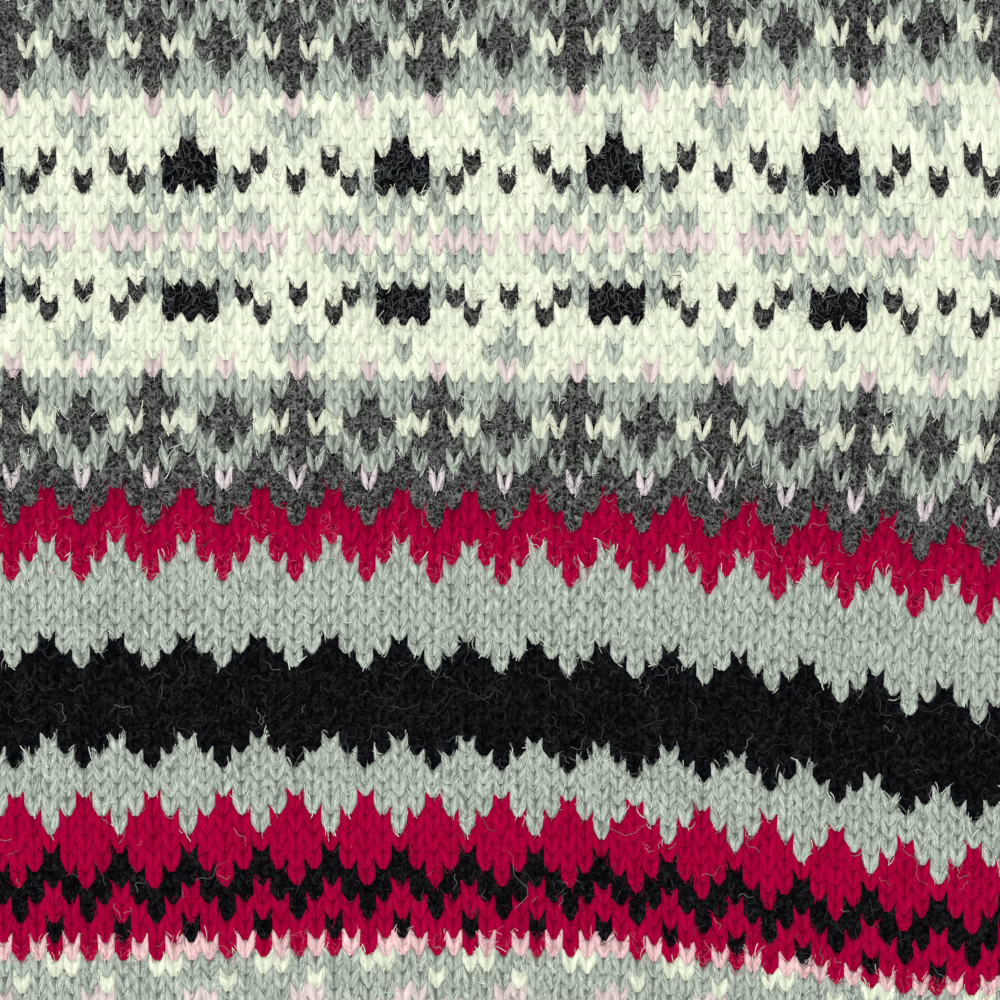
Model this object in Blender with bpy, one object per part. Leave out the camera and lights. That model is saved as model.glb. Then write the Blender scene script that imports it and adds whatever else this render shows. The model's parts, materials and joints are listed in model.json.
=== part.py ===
"""Fair isle cardigan, buttoned up and laid flat with its front up.

Units are metres and +Z is up. The hem lies toward -Y, the neck toward +Y and the wearer's left toward +X.
Every panel of cloth is a wall between an upper and a lower surface over one plan. The back lies on z = 0,
the fronts lie on the back, and the sleeves are flattened tubes that continue both layers.
"""

import math

import bpy
import numpy as np

# Cloth
WALL = 0.0024  # thickness of the stranded knitting
SEAM = 0.0003  # parting between two pieces
TIP = 0.0006  # thickness left at the very edge of a rolled side
FRONT_UNDER = WALL + SEAM  # underside of the front layer
FRONT_TOP = FRONT_UNDER + WALL
FOLD_HALF = FRONT_TOP / 2  # half the height of a side that folds round

# Body, measured from the lower edge of the hem and from the middle
BODY_LENGTH = 0.600  # lower edge to the shoulder at the neck
HEM_RIB = 0.060
HEM_HALF = 0.230  # half the width of the rib
BODY_HALF = 0.238  # half the width just above the rib
CHEST_HALF = 0.245
SHOULDER_HALF = 0.200
SHOULDER_DROP = 0.030
ARMHOLE = 0.210
NECK_HALF = 0.088
FRONT_NECK = 0.080
BACK_NECK = 0.018
NECK_COLUMNS = 6  # points on half of the back neck
GATHER = 0.018  # length over which the cloth draws in to its rib
UNDERARM = BODY_LENGTH - SHOULDER_DROP - ARMHOLE
SIDE_ROWS = 9  # rows of points from the rib to the underarm
ARMHOLE_ROWS = 11  # rows from the underarm to the shoulder's tip
NECK_ROWS = 8  # rows of a front that end on its neck

# Rib
RIB_PITCH = 0.0125  # two knit and two purl stitches
RIB_BASE = 0.0018  # wall in a furrow
RIB_HEIGHT = 0.0013  # ridge above the furrow
RIB_STEPS = ((0.00, 0.0), (0.26, 0.85), (0.50, 1.0), (0.74, 0.85))  # place in the pitch, share of height

# Front bands and neckband
BAND = 0.034
BAND_SHIFT = 0.0015  # each band lies this far toward its own front, so that the upper one can step down
FRONT_EDGE = BAND / 2 + BAND_SHIFT  # where a front ends and its band begins
BAND_RIDGES = 4
BAND_RIDGE = 0.0052
NECKBAND = 0.025
NECKBAND_LEAN = math.radians(32)  # at the shoulder the neckband leans in toward the neck

# Sleeve, in its own plan: "along" from the underarm to the cuff, "across" toward the shoulder fold
SLEEVE_ANGLE = math.radians(45)  # from the body's side
SLEEVE_HALF = 0.085
SLEEVE_LENGTH = 0.380  # underarm to the cuff's rib
WRIST_HALF = 0.050
CUFF_HALF = 0.043
CUFF_LENGTH = 0.060
CUFF_SHARES = np.array([0.2, 0.4, 0.6, 0.8])

# Buttons
BUTTONS = 7
BUTTON_RADIUS = 0.009
BUTTON_THICK = 0.0028
BUTTON_RIM = 0.0014  # width of the raised rim
BUTTON_DISH = 0.0007  # depth of the dish inside the rim
BUTTON_HOLE = 0.0009  # radius of a thread hole
BUTTON_HOLE_OFF = 0.0019  # its distance from the middle along each diagonal
SLIT = 0.016
SLIT_HALF = 0.0008
SHANK_HALF = 0.0005
SHANK_LENGTH = 0.003
FIRST_BUTTON = 0.022  # above the lower edge

# Soft folds of the upper layer: middle, direction from +X, half length, half width and height
FOLDS = (
    {"x": 0.196, "y": 0.318, "turn": 38, "long": 0.052, "wide": 0.011, "high": 0.0036},
    {"x": 0.300, "y": 0.372, "turn": -50, "long": 0.060, "wide": 0.012, "high": 0.0042},
    {"x": 0.330, "y": 0.330, "turn": -62, "long": 0.038, "wide": 0.009, "high": 0.0026},
    {"x": 0.436, "y": 0.262, "turn": -30, "long": 0.046, "wide": 0.011, "high": 0.0032},
    {"x": 0.210, "y": 0.470, "turn": 75, "long": 0.055, "wide": 0.012, "high": 0.0024},
    {"x": -0.190, "y": 0.306, "turn": 146, "long": 0.058, "wide": 0.012, "high": 0.0034},
    {"x": -0.296, "y": 0.384, "turn": 232, "long": 0.052, "wide": 0.011, "high": 0.0046},
    {"x": -0.352, "y": 0.318, "turn": 244, "long": 0.042, "wide": 0.010, "high": 0.0028},
    {"x": -0.470, "y": 0.236, "turn": 205, "long": 0.040, "wide": 0.012, "high": 0.0030},
    {"x": -0.208, "y": 0.462, "turn": 104, "long": 0.050, "wide": 0.012, "high": 0.0026},
)

# Colours: name, red, green, blue, roughness
FINISHES = (
    ("grey_wool", 0.46, 0.49, 0.46, 0.95),
    ("charcoal_rib", 0.045, 0.045, 0.047, 0.95),
    ("dark_button", 0.035, 0.028, 0.026, 0.35),
)


def clear_scene():
    for thing in list(bpy.data.objects):
        bpy.data.objects.remove(thing, do_unlink=True)


def make_materials():
    made = {}
    for name, red, green, blue, roughness in FINISHES:
        material = bpy.data.materials.new(name)
        material.use_nodes = True
        shader = material.node_tree.nodes["Principled BSDF"]
        shader.inputs["Base Color"].default_value = (red, green, blue, 1.0)
        shader.inputs["Roughness"].default_value = roughness
        shader.inputs["Metallic"].default_value = 0.0
        made[name] = material
    return made


# ---------------------------------------------------------------- outlines

def smooth(value):
    """0 below 0, 1 above 1, and an even S between."""
    held = np.clip(value, 0.0, 1.0)
    return held * held * (3 - 2 * held)


def run_along(points):
    """Distance of each point of a line from its start."""
    steps = np.linalg.norm(np.diff(points, axis=0), axis=1)
    return np.concatenate([[0.0], np.cumsum(steps)])


def resample(points, shares):
    """Points at these shares of a line's length."""
    run = run_along(points)
    return np.stack([np.interp(shares, run / run[-1], points[:, axis]) for axis in (0, 1)], axis=1)


def edge_shares(width, count):
    """Even shares across a strip, with extra lines near its far edge, which rolls over."""
    near = [1 - WALL / width, 1 - 0.3 * WALL / width, 1.0]
    return np.concatenate([np.linspace(0, near[0], count), near[1:]])


def side_x(height):
    """Half the body's width at a height: drawn in to the rib, then widening to the chest."""
    drawn = (BODY_HALF - HEM_HALF) * (1 - smooth((height - HEM_RIB) / GATHER))
    rise = (height - HEM_RIB) / (UNDERARM - HEM_RIB)
    return BODY_HALF + (CHEST_HALF - BODY_HALF) * np.clip(rise, 0, 1) - drawn


def armhole_line(count=40):
    """Quarter of an ellipse, in from the underarm and then up to the shoulder's tip."""
    turn = np.linspace(0, math.pi / 2, count)
    x = SHOULDER_HALF + (CHEST_HALF - SHOULDER_HALF) * (1 - np.sin(turn))
    y = UNDERARM + ARMHOLE * (1 - np.cos(turn))
    return np.stack([x, y], axis=1)


def side_line():
    """Side seam from the rib to the underarm, then the armhole up to the shoulder."""
    height = np.linspace(HEM_RIB + SEAM, UNDERARM, 40)
    return np.concatenate([np.stack([side_x(height), height], axis=1), armhole_line()[1:]])


def body_shares():
    """Shares of the side line's length for the body's rows: to the underarm, up the armhole, and the roll."""
    length = run_along(side_line())[-1]
    climb = run_along(armhole_line())[-1]
    underarm = 1 - climb / length
    armhole = underarm + edge_shares(climb, ARMHOLE_ROWS) * climb / length
    return np.concatenate([np.linspace(0, underarm, SIDE_ROWS)[:-1], armhole])


def armhole_points():
    """The body's own edge points from the shoulder's tip down to the underarm, which the sleeve's seam follows."""
    return resample(side_line(), body_shares())[SIDE_ROWS - 1 :][::-1]


def neck_points():
    """The front's own neck points, from the front edge up a quarter of an ellipse to the shoulder."""
    turn = np.linspace(0, math.pi / 2, 40)
    x = FRONT_EDGE + (NECK_HALF - FRONT_EDGE) * np.sin(turn)
    y = BODY_LENGTH - FRONT_NECK * np.cos(turn)
    line = np.stack([x, y], axis=1)
    return resample(line, edge_shares(run_along(line)[-1], NECK_ROWS - 2))


def back_neck_y(x):
    return BODY_LENGTH - BACK_NECK * np.cos(np.clip(np.abs(x) / NECK_HALF, 0, 1) * math.pi / 2)


def shoulder_y(x):
    """Top of the back: the neck's hollow, then the shoulder's slope."""
    slope = SHOULDER_DROP * (np.abs(x) - NECK_HALF) / (SHOULDER_HALF - NECK_HALF)
    return np.where(np.abs(x) < NECK_HALF, back_neck_y(x), BODY_LENGTH - slope)


# ---------------------------------------------------------------- heights

def relief(x, y):
    """Rise of the upper layer above flat: a little air, and each soft fold as a rounded ridge."""
    rise = 0.0004 * (1 + np.sin(x * 31 + 0.7) * np.sin(y * 27 + 1.9))
    for fold in FOLDS:
        turn = math.radians(fold["turn"])
        along = (x - fold["x"]) * math.cos(turn) + (y - fold["y"]) * math.sin(turn)
        across = (y - fold["y"]) * math.cos(turn) - (x - fold["x"]) * math.sin(turn)
        rise = rise + fold["high"] * np.exp(-((along / fold["long"]) ** 2) - (across / fold["wide"]) ** 2)
    return rise


def roll(distance):
    """How much a wall has lost at this distance from an edge that rolls over: a quarter round."""
    share = 1 - np.clip(distance / WALL, 0, 1)
    return (WALL - TIP) * (1 - np.sqrt(1 - share * share))


def edge_fade(distance):
    """0 at an edge that lies down on the layer below, 1 from 20 mm in."""
    return smooth(distance / 0.020)


# ---------------------------------------------------------------- meshes

def add_object(name, points, faces, material):
    mesh = bpy.data.meshes.new(name)
    mesh.from_pydata([tuple(point) for point in points], [], faces)
    mesh.materials.append(material)
    mesh.shade_smooth()
    mesh.set_sharp_from_angle(angle=math.radians(40))
    mesh.update()
    thing = bpy.data.objects.new(name, mesh)
    bpy.context.scene.collection.objects.link(thing)
    return thing


def wall_panel(name, plan, upper, lower, material, gaps=()):
    """Closed wall over a grid of plan points, with an upper and a lower height for each, less the cells in gaps."""
    rows, columns = upper.shape
    first, second = plan[0, 1] - plan[0, 0], plan[1, 0] - plan[0, 0]
    if first[0] * second[1] - first[1] * second[0] < 0:
        plan, upper, lower = plan[:, ::-1], upper[:, ::-1], lower[:, ::-1]
        gaps = [(row, columns - 2 - column) for row, column in gaps]
    points = np.concatenate([
        np.dstack([plan, upper]).reshape(-1, 3),
        np.dstack([plan, lower]).reshape(-1, 3),
    ])
    below = rows * columns
    kept = {(r, c) for r in range(rows - 1) for c in range(columns - 1)} - set(gaps)
    faces = []
    for row, column in sorted(kept):
        a = row * columns + column
        ring = (a, a + 1, a + 1 + columns, a + columns)
        faces.append(ring)
        faces.append(tuple(below + point for point in reversed(ring)))
        beside = ((row - 1, column), (row, column + 1), (row + 1, column), (row, column - 1))
        for corner, neighbour in enumerate(beside):
            if neighbour not in kept:
                start, end = ring[corner], ring[(corner + 1) % 4]
                faces.append((start, below + start, below + end, end))
    return add_object(name, points, faces, material)


def wall_tube(name, outer, inner, material):
    """Closed wall between two nets of rings, open at both ends."""
    sections, around, _ = outer.shape
    points = np.concatenate([outer.reshape(-1, 3), inner.reshape(-1, 3)])
    within = sections * around
    faces = []
    for section in range(sections - 1):
        for step in range(around):
            a = section * around + step
            b = section * around + (step + 1) % around
            faces.append((a, a + around, b + around, b))
            faces.append((within + a, within + b, within + b + around, within + a + around))
    for section, turned in ((0, False), (sections - 1, True)):
        for step in range(around):
            a = section * around + step
            b = section * around + (step + 1) % around
            ring = (a, b, within + b, within + a)
            faces.append(tuple(reversed(ring)) if turned else ring)
    corners = np.array([points[list(face[:3])] for face in faces])
    if np.einsum("fi,fi->f", corners[:, 0], np.cross(corners[:, 1], corners[:, 2])).sum() < 0:
        faces = [tuple(reversed(face)) for face in faces]
    return add_object(name, points, faces, material)


def rib_columns(length):
    """Places along a ribbed edge and each one's share of the ridge's height, ending on a furrow."""
    count = max(1, round(length / RIB_PITCH))
    pitch = length / count
    places = [(rib + step) * pitch for rib in range(count) for step, _ in RIB_STEPS] + [length]
    shares = [share for _ in range(count) for _, share in RIB_STEPS] + [0.0]
    return np.array(places), np.array(shares)


# ---------------------------------------------------------------- body

def make_front(name, side, material):
    """side is +1 for the wearer's left front and -1 for the right."""
    outer = resample(side_line(), body_shares())
    climb = np.linspace(HEM_RIB + SEAM, BODY_LENGTH - FRONT_NECK, len(outer) - NECK_ROWS + 1)
    straight = np.stack([np.full(len(climb), FRONT_EDGE), climb], axis=1)
    inner = np.concatenate([straight, neck_points()[1:]])
    across = edge_shares(CHEST_HALF, 11)
    plan = inner[:, None] + (outer - inner)[:, None] * across[None, :, None]
    side_gap = np.where(plan[..., 1] < UNDERARM, side_x(plan[..., 1]) - plan[..., 0], 1.0)
    top_gap = np.where(plan[..., 0] > NECK_HALF - WALL, shoulder_y(plan[..., 0]) - plan[..., 1], 1.0)
    top_gap[-1] = 0.0
    near = np.minimum(side_gap, top_gap)
    lift = relief(side * plan[..., 0], plan[..., 1]) * edge_fade(near)
    lower = FRONT_UNDER + lift
    upper = lower + WALL - roll(near)
    plan[..., 0] *= side
    return wall_panel(name, plan, upper, lower, material)


def make_back(material):
    neck = NECK_HALF / SHOULDER_HALF
    shoulder = neck + edge_shares(CHEST_HALF * (1 - neck), 6) * (1 - neck)
    half = np.concatenate([np.linspace(0, neck, NECK_COLUMNS), shoulder[1:]])
    across = np.concatenate([-half[:0:-1], half])
    heights = body_shares()
    outer = resample(side_line(), heights)
    plan = np.zeros((len(heights), len(across), 2))
    plan[..., 0] = outer[:, None, 0] * across
    crown = shoulder_y(SHOULDER_HALF * across) - outer[-1, 1]
    plan[..., 1] = outer[:, None, 1] + heights[:, None] ** 4 * crown
    side_gap = np.where(plan[..., 1] < UNDERARM, side_x(plan[..., 1]) - np.abs(plan[..., 0]), 1.0)
    on_shoulder = np.abs(across) > neck - 1e-6
    top_gap = np.where(on_shoulder[None], (1 - heights[:, None]) * BODY_LENGTH, 1.0)
    near = np.minimum(side_gap, top_gap)
    return wall_panel("back", plan, np.full(near.shape, WALL), roll(near), material)


def make_hem_front(name, side, material):
    width = HEM_HALF - FRONT_EDGE
    places, shares = rib_columns(width)
    heights = np.array([0.0, 0.002, HEM_RIB / 2, HEM_RIB])
    crest = np.array([0.35, 1.0, 1.0, 0.8])  # the ridges soften at both ends
    plan = np.zeros((len(heights), len(places), 2))
    plan[..., 0] = side * (FRONT_EDGE + places)
    plan[..., 1] = heights[:, None]
    near = (width - places)[None] + 0 * heights[:, None]
    base = RIB_BASE - (RIB_BASE - TIP) / (WALL - TIP) * roll(near)
    upper = FRONT_UNDER + base + RIB_HEIGHT * crest[:, None] * shares[None]
    return wall_panel(name, plan, upper, np.full(upper.shape, FRONT_UNDER), material)


def make_hem_back(material):
    half = edge_shares(HEM_HALF, 7)
    across = np.concatenate([-half[:0:-1], half])
    heights = np.array([0.0, HEM_RIB / 2, HEM_RIB])
    plan = np.zeros((len(heights), len(across), 2))
    plan[..., 0] = HEM_HALF * across
    plan[..., 1] = heights[:, None]
    near = (HEM_HALF - np.abs(plan[..., 0]))
    return wall_panel("hem_rib_back", plan, np.full(near.shape, WALL), roll(near), material)


# ---------------------------------------------------------------- neckband

def leaning_strip(seam, lean, rows):
    """Strip of the neckband's depth that stands on a seam line, each point leaning in by its own angle."""
    away = np.stack([-np.sin(lean), np.cos(lean)], axis=1)
    start = 1.6 * SEAM  # a leaning strip parts by less than this, square to the seam
    depth = start + (NECKBAND - start) * rows
    return seam[None] + depth[:, None, None] * away[None]


def make_neckband_front(name, side, material):
    line = neck_points()
    length = run_along(line)[-1]
    places, shares = rib_columns(length)
    run = places / length
    seam = resample(line, run)
    lean = math.radians(66) * run - (math.radians(66) - NECKBAND_LEAN) * run**4
    rows = np.array([0.0, 0.5, 1.0])
    plan = leaning_strip(seam, lean, rows)
    crest = np.array([0.8, 1.0, 0.5])
    height = RIB_BASE + RIB_HEIGHT * crest[:, None] * shares[None]
    plan[..., 0] *= side
    return wall_panel(name, plan, FRONT_UNDER + height, np.full(height.shape, FRONT_UNDER), material)


def make_neckband_back(material):
    across = np.linspace(-1, 1, 2 * NECK_COLUMNS - 1)
    x = NECK_HALF * across
    seam = np.stack([x, back_neck_y(x)], axis=1)
    lean = NECKBAND_LEAN * across * np.abs(across)
    plan = leaning_strip(seam, lean, np.array([0.0, 0.5, 1.0]))
    height = np.full(plan.shape[:2], WALL)
    return wall_panel("neckband_back", plan, height, np.zeros(height.shape), material)


# ---------------------------------------------------------------- front bands

def band_columns():
    """Places across a band and each one's share of the ridge's height: three on a ridge, two in a furrow."""
    furrow = (BAND - BAND_RIDGES * BAND_RIDGE) / (BAND_RIDGES - 1)
    places, shares = [], []
    for ridge in range(BAND_RIDGES):
        start = ridge * (BAND_RIDGE + furrow)
        places += [start, start + BAND_RIDGE / 2, start + BAND_RIDGE]
        shares += [0.75, 1.0, 0.75]
        if ridge < BAND_RIDGES - 1:
            middle = start + BAND_RIDGE + furrow / 2
            places += [middle - SLIT_HALF, middle + SLIT_HALF]
            shares += [0.0, 0.0]
    return np.array(places), np.array(shares)


def button_heights():
    top = BODY_LENGTH - FRONT_NECK + NECKBAND / 2
    return np.linspace(FIRST_BUTTON, top, BUTTONS)


BAND_TOP = BODY_LENGTH - FRONT_NECK + NECKBAND
BAND_STEP = RIB_BASE + RIB_HEIGHT + SEAM  # how far the upper band lies above the lower one's underside
UPPER_UNDER = FRONT_UNDER + BAND_STEP
UPPER_TOP = UPPER_UNDER + RIB_BASE + RIB_HEIGHT


def make_button_band(material):
    """The lower band, on the wearer's left front."""
    places, shares = band_columns()
    start = FRONT_EDGE - SEAM
    heights = np.linspace(0, BAND_TOP, 5)
    plan = np.zeros((len(heights), len(places), 2))
    plan[..., 0] = start - places
    plan[..., 1] = heights[:, None]
    upper = FRONT_UNDER + RIB_BASE + RIB_HEIGHT * shares[None] + 0 * heights[:, None]
    return wall_panel("button_band", plan, upper, np.full(upper.shape, FRONT_UNDER), material)


def make_buttonhole_band(material):
    """The upper band, on the wearer's right front: it steps up over the lower one, and each slit is a gap."""
    places, shares = band_columns()
    start = SEAM - FRONT_EDGE
    step = 2 * BAND_SHIFT - 3 * SEAM  # width of the stretch that still lies at the front's level
    places = np.concatenate([[0.0, step, step + 0.0002], places[1:]])
    shares = np.concatenate([[0.0, 0.3, 0.6], shares[1:]])
    under = np.full(len(places), UPPER_UNDER)
    under[:2] = FRONT_UNDER
    rise = np.interp(places, [0, step, 2 * step], [FRONT_UNDER, UPPER_UNDER - 0.0012, UPPER_UNDER])
    heights = [0.0, BAND_TOP]
    for height in button_heights():
        heights += [height - SLIT / 2, height + SLIT / 2]
    heights = np.array(sorted(heights))
    plan = np.zeros((len(heights), len(places), 2))
    plan[..., 0] = start + places
    plan[..., 1] = heights[:, None]
    upper = rise[None] + RIB_BASE + RIB_HEIGHT * shares[None] + 0 * heights[:, None]
    lower = under[None] + 0 * heights[:, None]
    slit_column = int(np.argmin(np.abs(places - BAND / 2 + SLIT_HALF)))
    slits = [(1 + 2 * button, slit_column) for button in range(BUTTONS)]
    return wall_panel("buttonhole_band", plan, upper, lower, material, slits)


def make_button(number, height, material):
    """Dished disc with four thread holes, and its thread shank down through the slit."""
    base = UPPER_TOP + SEAM
    top = base + BUTTON_THICK
    middle = SEAM - FRONT_EDGE + BAND / 2  # the slits' furrow
    rings = (
        (BUTTON_RADIUS - 0.0008, base),
        (BUTTON_RADIUS, base + BUTTON_THICK * 0.45),
        (BUTTON_RADIUS - 0.0005, top),
        (BUTTON_RADIUS - BUTTON_RIM, top),
        (BUTTON_RADIUS - BUTTON_RIM - 0.0008, top - BUTTON_DISH),
    )
    disc = turned_disc(f"button_{number}", rings, (middle, height), material)
    for index, (right, up) in enumerate(((1, 1), (-1, 1), (-1, -1), (1, -1))):
        bpy.ops.mesh.primitive_cylinder_add(
            vertices=6,
            radius=BUTTON_HOLE,
            depth=4 * BUTTON_THICK,
            location=(middle + right * BUTTON_HOLE_OFF, height + up * BUTTON_HOLE_OFF, top),
        )
        cutter = bpy.context.object
        cutter.name = f"hole_cutter_{number}_{index}"
        hide_helper(cutter)
        add_boolean(disc, cutter, "DIFFERENCE")
    bpy.ops.mesh.primitive_cube_add(size=1)
    shank = bpy.context.object
    shank.name = f"shank_{number}"
    foot = UPPER_UNDER
    head = base + BUTTON_THICK * 0.3
    shank.scale = (2 * SHANK_HALF, SHANK_LENGTH, head - foot)
    shank.location = (middle, height, (head + foot) / 2)
    hide_helper(shank)
    add_boolean(disc, shank, "UNION")
    return disc


def hide_helper(thing):
    thing.hide_render = True
    thing.display_type = "WIRE"


def add_boolean(thing, other, operation):
    cut = thing.modifiers.new(other.name, "BOOLEAN")
    cut.operation = operation
    cut.object = other


def turned_disc(name, rings, middle, material, sides=18):
    turn = np.arange(sides) * 2 * math.pi / sides
    points = []
    for radius, height in rings:
        for angle in turn:
            x = middle[0] + radius * math.cos(angle)
            points.append((x, middle[1] + radius * math.sin(angle), height))
    faces = [tuple(reversed(range(sides)))]
    for ring in range(len(rings) - 1):
        for step in range(sides):
            a, b = ring * sides + step, ring * sides + (step + 1) % sides
            faces.append((a, b, b + sides, a + sides))
    last = (len(rings) - 1) * sides
    faces.append(tuple(range(last, last + sides)))
    return add_object(name, points, faces, material)


# ---------------------------------------------------------------- sleeves

ALONG = np.array([math.sin(SLEEVE_ANGLE), -math.cos(SLEEVE_ANGLE)])
ACROSS = np.array([math.cos(SLEEVE_ANGLE), math.sin(SLEEVE_ANGLE)])
UNDERARM_POINT = np.array([CHEST_HALF, UNDERARM])
SLEEVE_START = UNDERARM_POINT + SLEEVE_HALF * ACROSS  # middle of the sleeve level with the underarm


def sleeve_half(along):
    """Half the sleeve's width: an even taper, drawn in to the cuff at its end."""
    taper = SLEEVE_HALF - (SLEEVE_HALF - WRIST_HALF) * np.clip(along, 0, None) / SLEEVE_LENGTH
    return taper - (WRIST_HALF - CUFF_HALF) * smooth((along - SLEEVE_LENGTH + GATHER) / GATHER)


def to_plan(along, across):
    along, across = np.asarray(along), np.asarray(across)
    return SLEEVE_START + along[..., None] * ALONG + across[..., None] * ACROSS


def sleeve_top_line():
    """Fold from the shoulder's tip, leaving in the shoulder's direction and easing into the taper."""
    tip = np.array([SHOULDER_HALF, BODY_LENGTH - SHOULDER_DROP]) - SLEEVE_START
    start, height = float(tip @ ALONG), float(tip @ ACROSS)
    slope = np.array([SHOULDER_HALF - NECK_HALF, -SHOULDER_DROP])
    leave = float(slope @ ACROSS) / float(slope @ ALONG)
    arrive = -(SLEEVE_HALF - WRIST_HALF) / SLEEVE_LENGTH
    share = np.linspace(0, 1, 30)
    first = (1 + 2 * share) * (1 - share) ** 2 * height + share * (1 - share) ** 2 * -start * leave
    last = share**2 * (3 - 2 * share) * SLEEVE_HALF + share**2 * (share - 1) * -start * arrive
    cap = to_plan(start * (1 - share), first + last)
    down = np.linspace(0, SLEEVE_LENGTH, 60)[1:]
    return np.concatenate([cap, to_plan(down, sleeve_half(down))])


def sleeve_under_line():
    down = np.linspace(0, SLEEVE_LENGTH, 60)
    return to_plan(down, -sleeve_half(down))


def fold_columns(width, shares):
    """Distances from the fold across a flattened tube: close together where it turns over."""
    near = np.array([0.3 * WALL, WALL])
    return np.concatenate([near, shares * width, width - near[::-1]])


def round_height(distance, width):
    """Half height of a flattened tube at a distance from its fold: a half round at each side."""
    share = 1 - np.clip(np.minimum(distance, width - distance) / WALL, 0, 1)
    return np.sqrt(1 - share * share)


def tube_ring(top, under, bow, side, shares, ribs=None):
    """Outer and inner ring of a flattened tube between its two folds, with points at shares of its width.

    bow bends the ring in plan. ribs, if given, is the share of a ridge's height that stands on the upper side.
    """
    width = float(np.linalg.norm(under - top))
    if ribs is None:
        upper_at = fold_columns(width, shares)
        ridge = np.zeros(len(upper_at))
        base = WALL
    else:
        places, heights = rib_columns(width - 2 * WALL)
        upper_at = np.concatenate([[0.3 * WALL], WALL + places, [width - 0.3 * WALL]])
        ridge = np.concatenate([[0.0], heights, [0.0]]) * RIB_HEIGHT * ribs
        base = RIB_BASE
    lower_at = fold_columns(width, shares)[::-1]
    at = np.concatenate([[0.0], upper_at, [width], lower_at])
    is_upper = np.concatenate([[False], np.ones(len(upper_at), bool), [False], np.zeros(len(lower_at), bool)])
    is_tip = np.concatenate([[True], np.zeros(len(upper_at), bool), [True], np.zeros(len(lower_at), bool)])
    ridge = np.concatenate([[0.0], ridge, [0.0], np.zeros(len(lower_at))])
    outer_xy = top + (under - top) * (at / width)[:, None] + bow(at / width)
    within = WALL + at * (width - 2 * WALL) / width
    inner_xy = top + (under - top) * (within / width)[:, None] + bow(within / width)
    fade = edge_fade(np.minimum(at, width - at))
    lift = relief(side * outer_xy[:, 0], outer_xy[:, 1]) * fade
    round_up = round_height(at, width)
    upper_z = FOLD_HALF + (FRONT_UNDER + base - FOLD_HALF) * round_up + ridge + lift
    lower_z = FOLD_HALF - FOLD_HALF * round_up
    outer_z = np.where(is_tip, FOLD_HALF, np.where(is_upper, upper_z, lower_z))
    inner_z = np.where(is_tip, FOLD_HALF, np.where(is_upper, FRONT_UNDER + lift, WALL))
    outer = np.column_stack([outer_xy[:, 0] * side, outer_xy[:, 1], outer_z])
    inner = np.column_stack([inner_xy[:, 0] * side, inner_xy[:, 1], inner_z])
    return outer, inner


def make_sleeve(name, side, material):
    shares = np.concatenate([[0.0], np.linspace(0.035, 0.95, 14), [0.975, 1.0]])
    tops = resample(sleeve_top_line(), shares)
    unders = resample(sleeve_under_line(), shares)
    armhole = armhole_points()
    run = run_along(armhole)
    columns = run[3:-1] / run[-1]
    outers, inners = [], []
    for share, top, under in zip(shares, tops, unders):
        pull = (1 - share) ** 6

        def bow(across, pull=pull):
            chord = armhole[0] + (armhole[-1] - armhole[0]) * across[:, None]
            seam = SEAM * np.stack([2 - across, 1.4 * across], axis=1)
            return (resample(armhole, across) - chord + seam) * pull

        outer, inner = tube_ring(top, under, bow, side, columns)
        outers.append(outer)
        inners.append(inner)
    return wall_tube(name, np.array(outers), np.array(inners), material)


def make_cuff(name, side, material):
    outers, inners = [], []
    for along, crest in ((SEAM, 0.7), (CUFF_LENGTH / 2, 1.0), (CUFF_LENGTH - 0.002, 1.0), (CUFF_LENGTH, 0.4)):
        ends = to_plan(np.full(2, SLEEVE_LENGTH + along), np.array([CUFF_HALF, -CUFF_HALF]))
        outer, inner = tube_ring(ends[0], ends[1], lambda across: 0.0, side, CUFF_SHARES, ribs=crest)
        outers.append(outer)
        inners.append(inner)
    return wall_tube(name, np.array(outers), np.array(inners), material)


# ---------------------------------------------------------------- the whole cardigan

def centre_on_origin():
    """Moves every mesh so that the cardigan's box stands on the origin by the middle of its underside."""
    bpy.context.view_layer.update()
    graph = bpy.context.evaluated_depsgraph_get()
    shown = [thing for thing in bpy.context.scene.objects if not thing.hide_render]
    corners = []
    for thing in shown:
        matrix = thing.matrix_world
        corners += [matrix @ vertex.co for vertex in thing.evaluated_get(graph).data.vertices]
    corners = np.array([tuple(corner) for corner in corners])
    middle = (corners.min(axis=0) + corners.max(axis=0)) / 2
    for thing in bpy.context.scene.objects:
        thing.location.x -= middle[0]
        thing.location.y -= middle[1]


def main():
    clear_scene()
    materials = make_materials()
    wool, rib, button = (materials[name] for name, *_ in FINISHES)
    make_back(wool)
    make_hem_back(rib)
    make_neckband_back(rib)
    for word, side in (("left", 1), ("right", -1)):
        make_front(f"front_{word}", side, wool)
        make_hem_front(f"hem_rib_front_{word}", side, rib)
        make_neckband_front(f"neckband_front_{word}", side, rib)
        make_sleeve(f"sleeve_{word}", side, wool)
        make_cuff(f"cuff_{word}", side, rib)
    make_button_band(rib)
    make_buttonhole_band(rib)
    for number, height in enumerate(button_heights(), start=1):
        make_button(number, float(height), button)
    centre_on_origin()


main()
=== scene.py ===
# %% [markdown]
# # A fair isle cardigan, laid flat
# The camera looks straight down at a piece of the left front, so the knitting itself is the subject: every
# stitch there is a small pair of leaf-shaped legs that stand on a thin cloth. This lesson builds the cloth
# first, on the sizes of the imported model, then the stitches from a hand-written chart, then the loose wool.

# %% Load the frame
import json
import math

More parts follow.
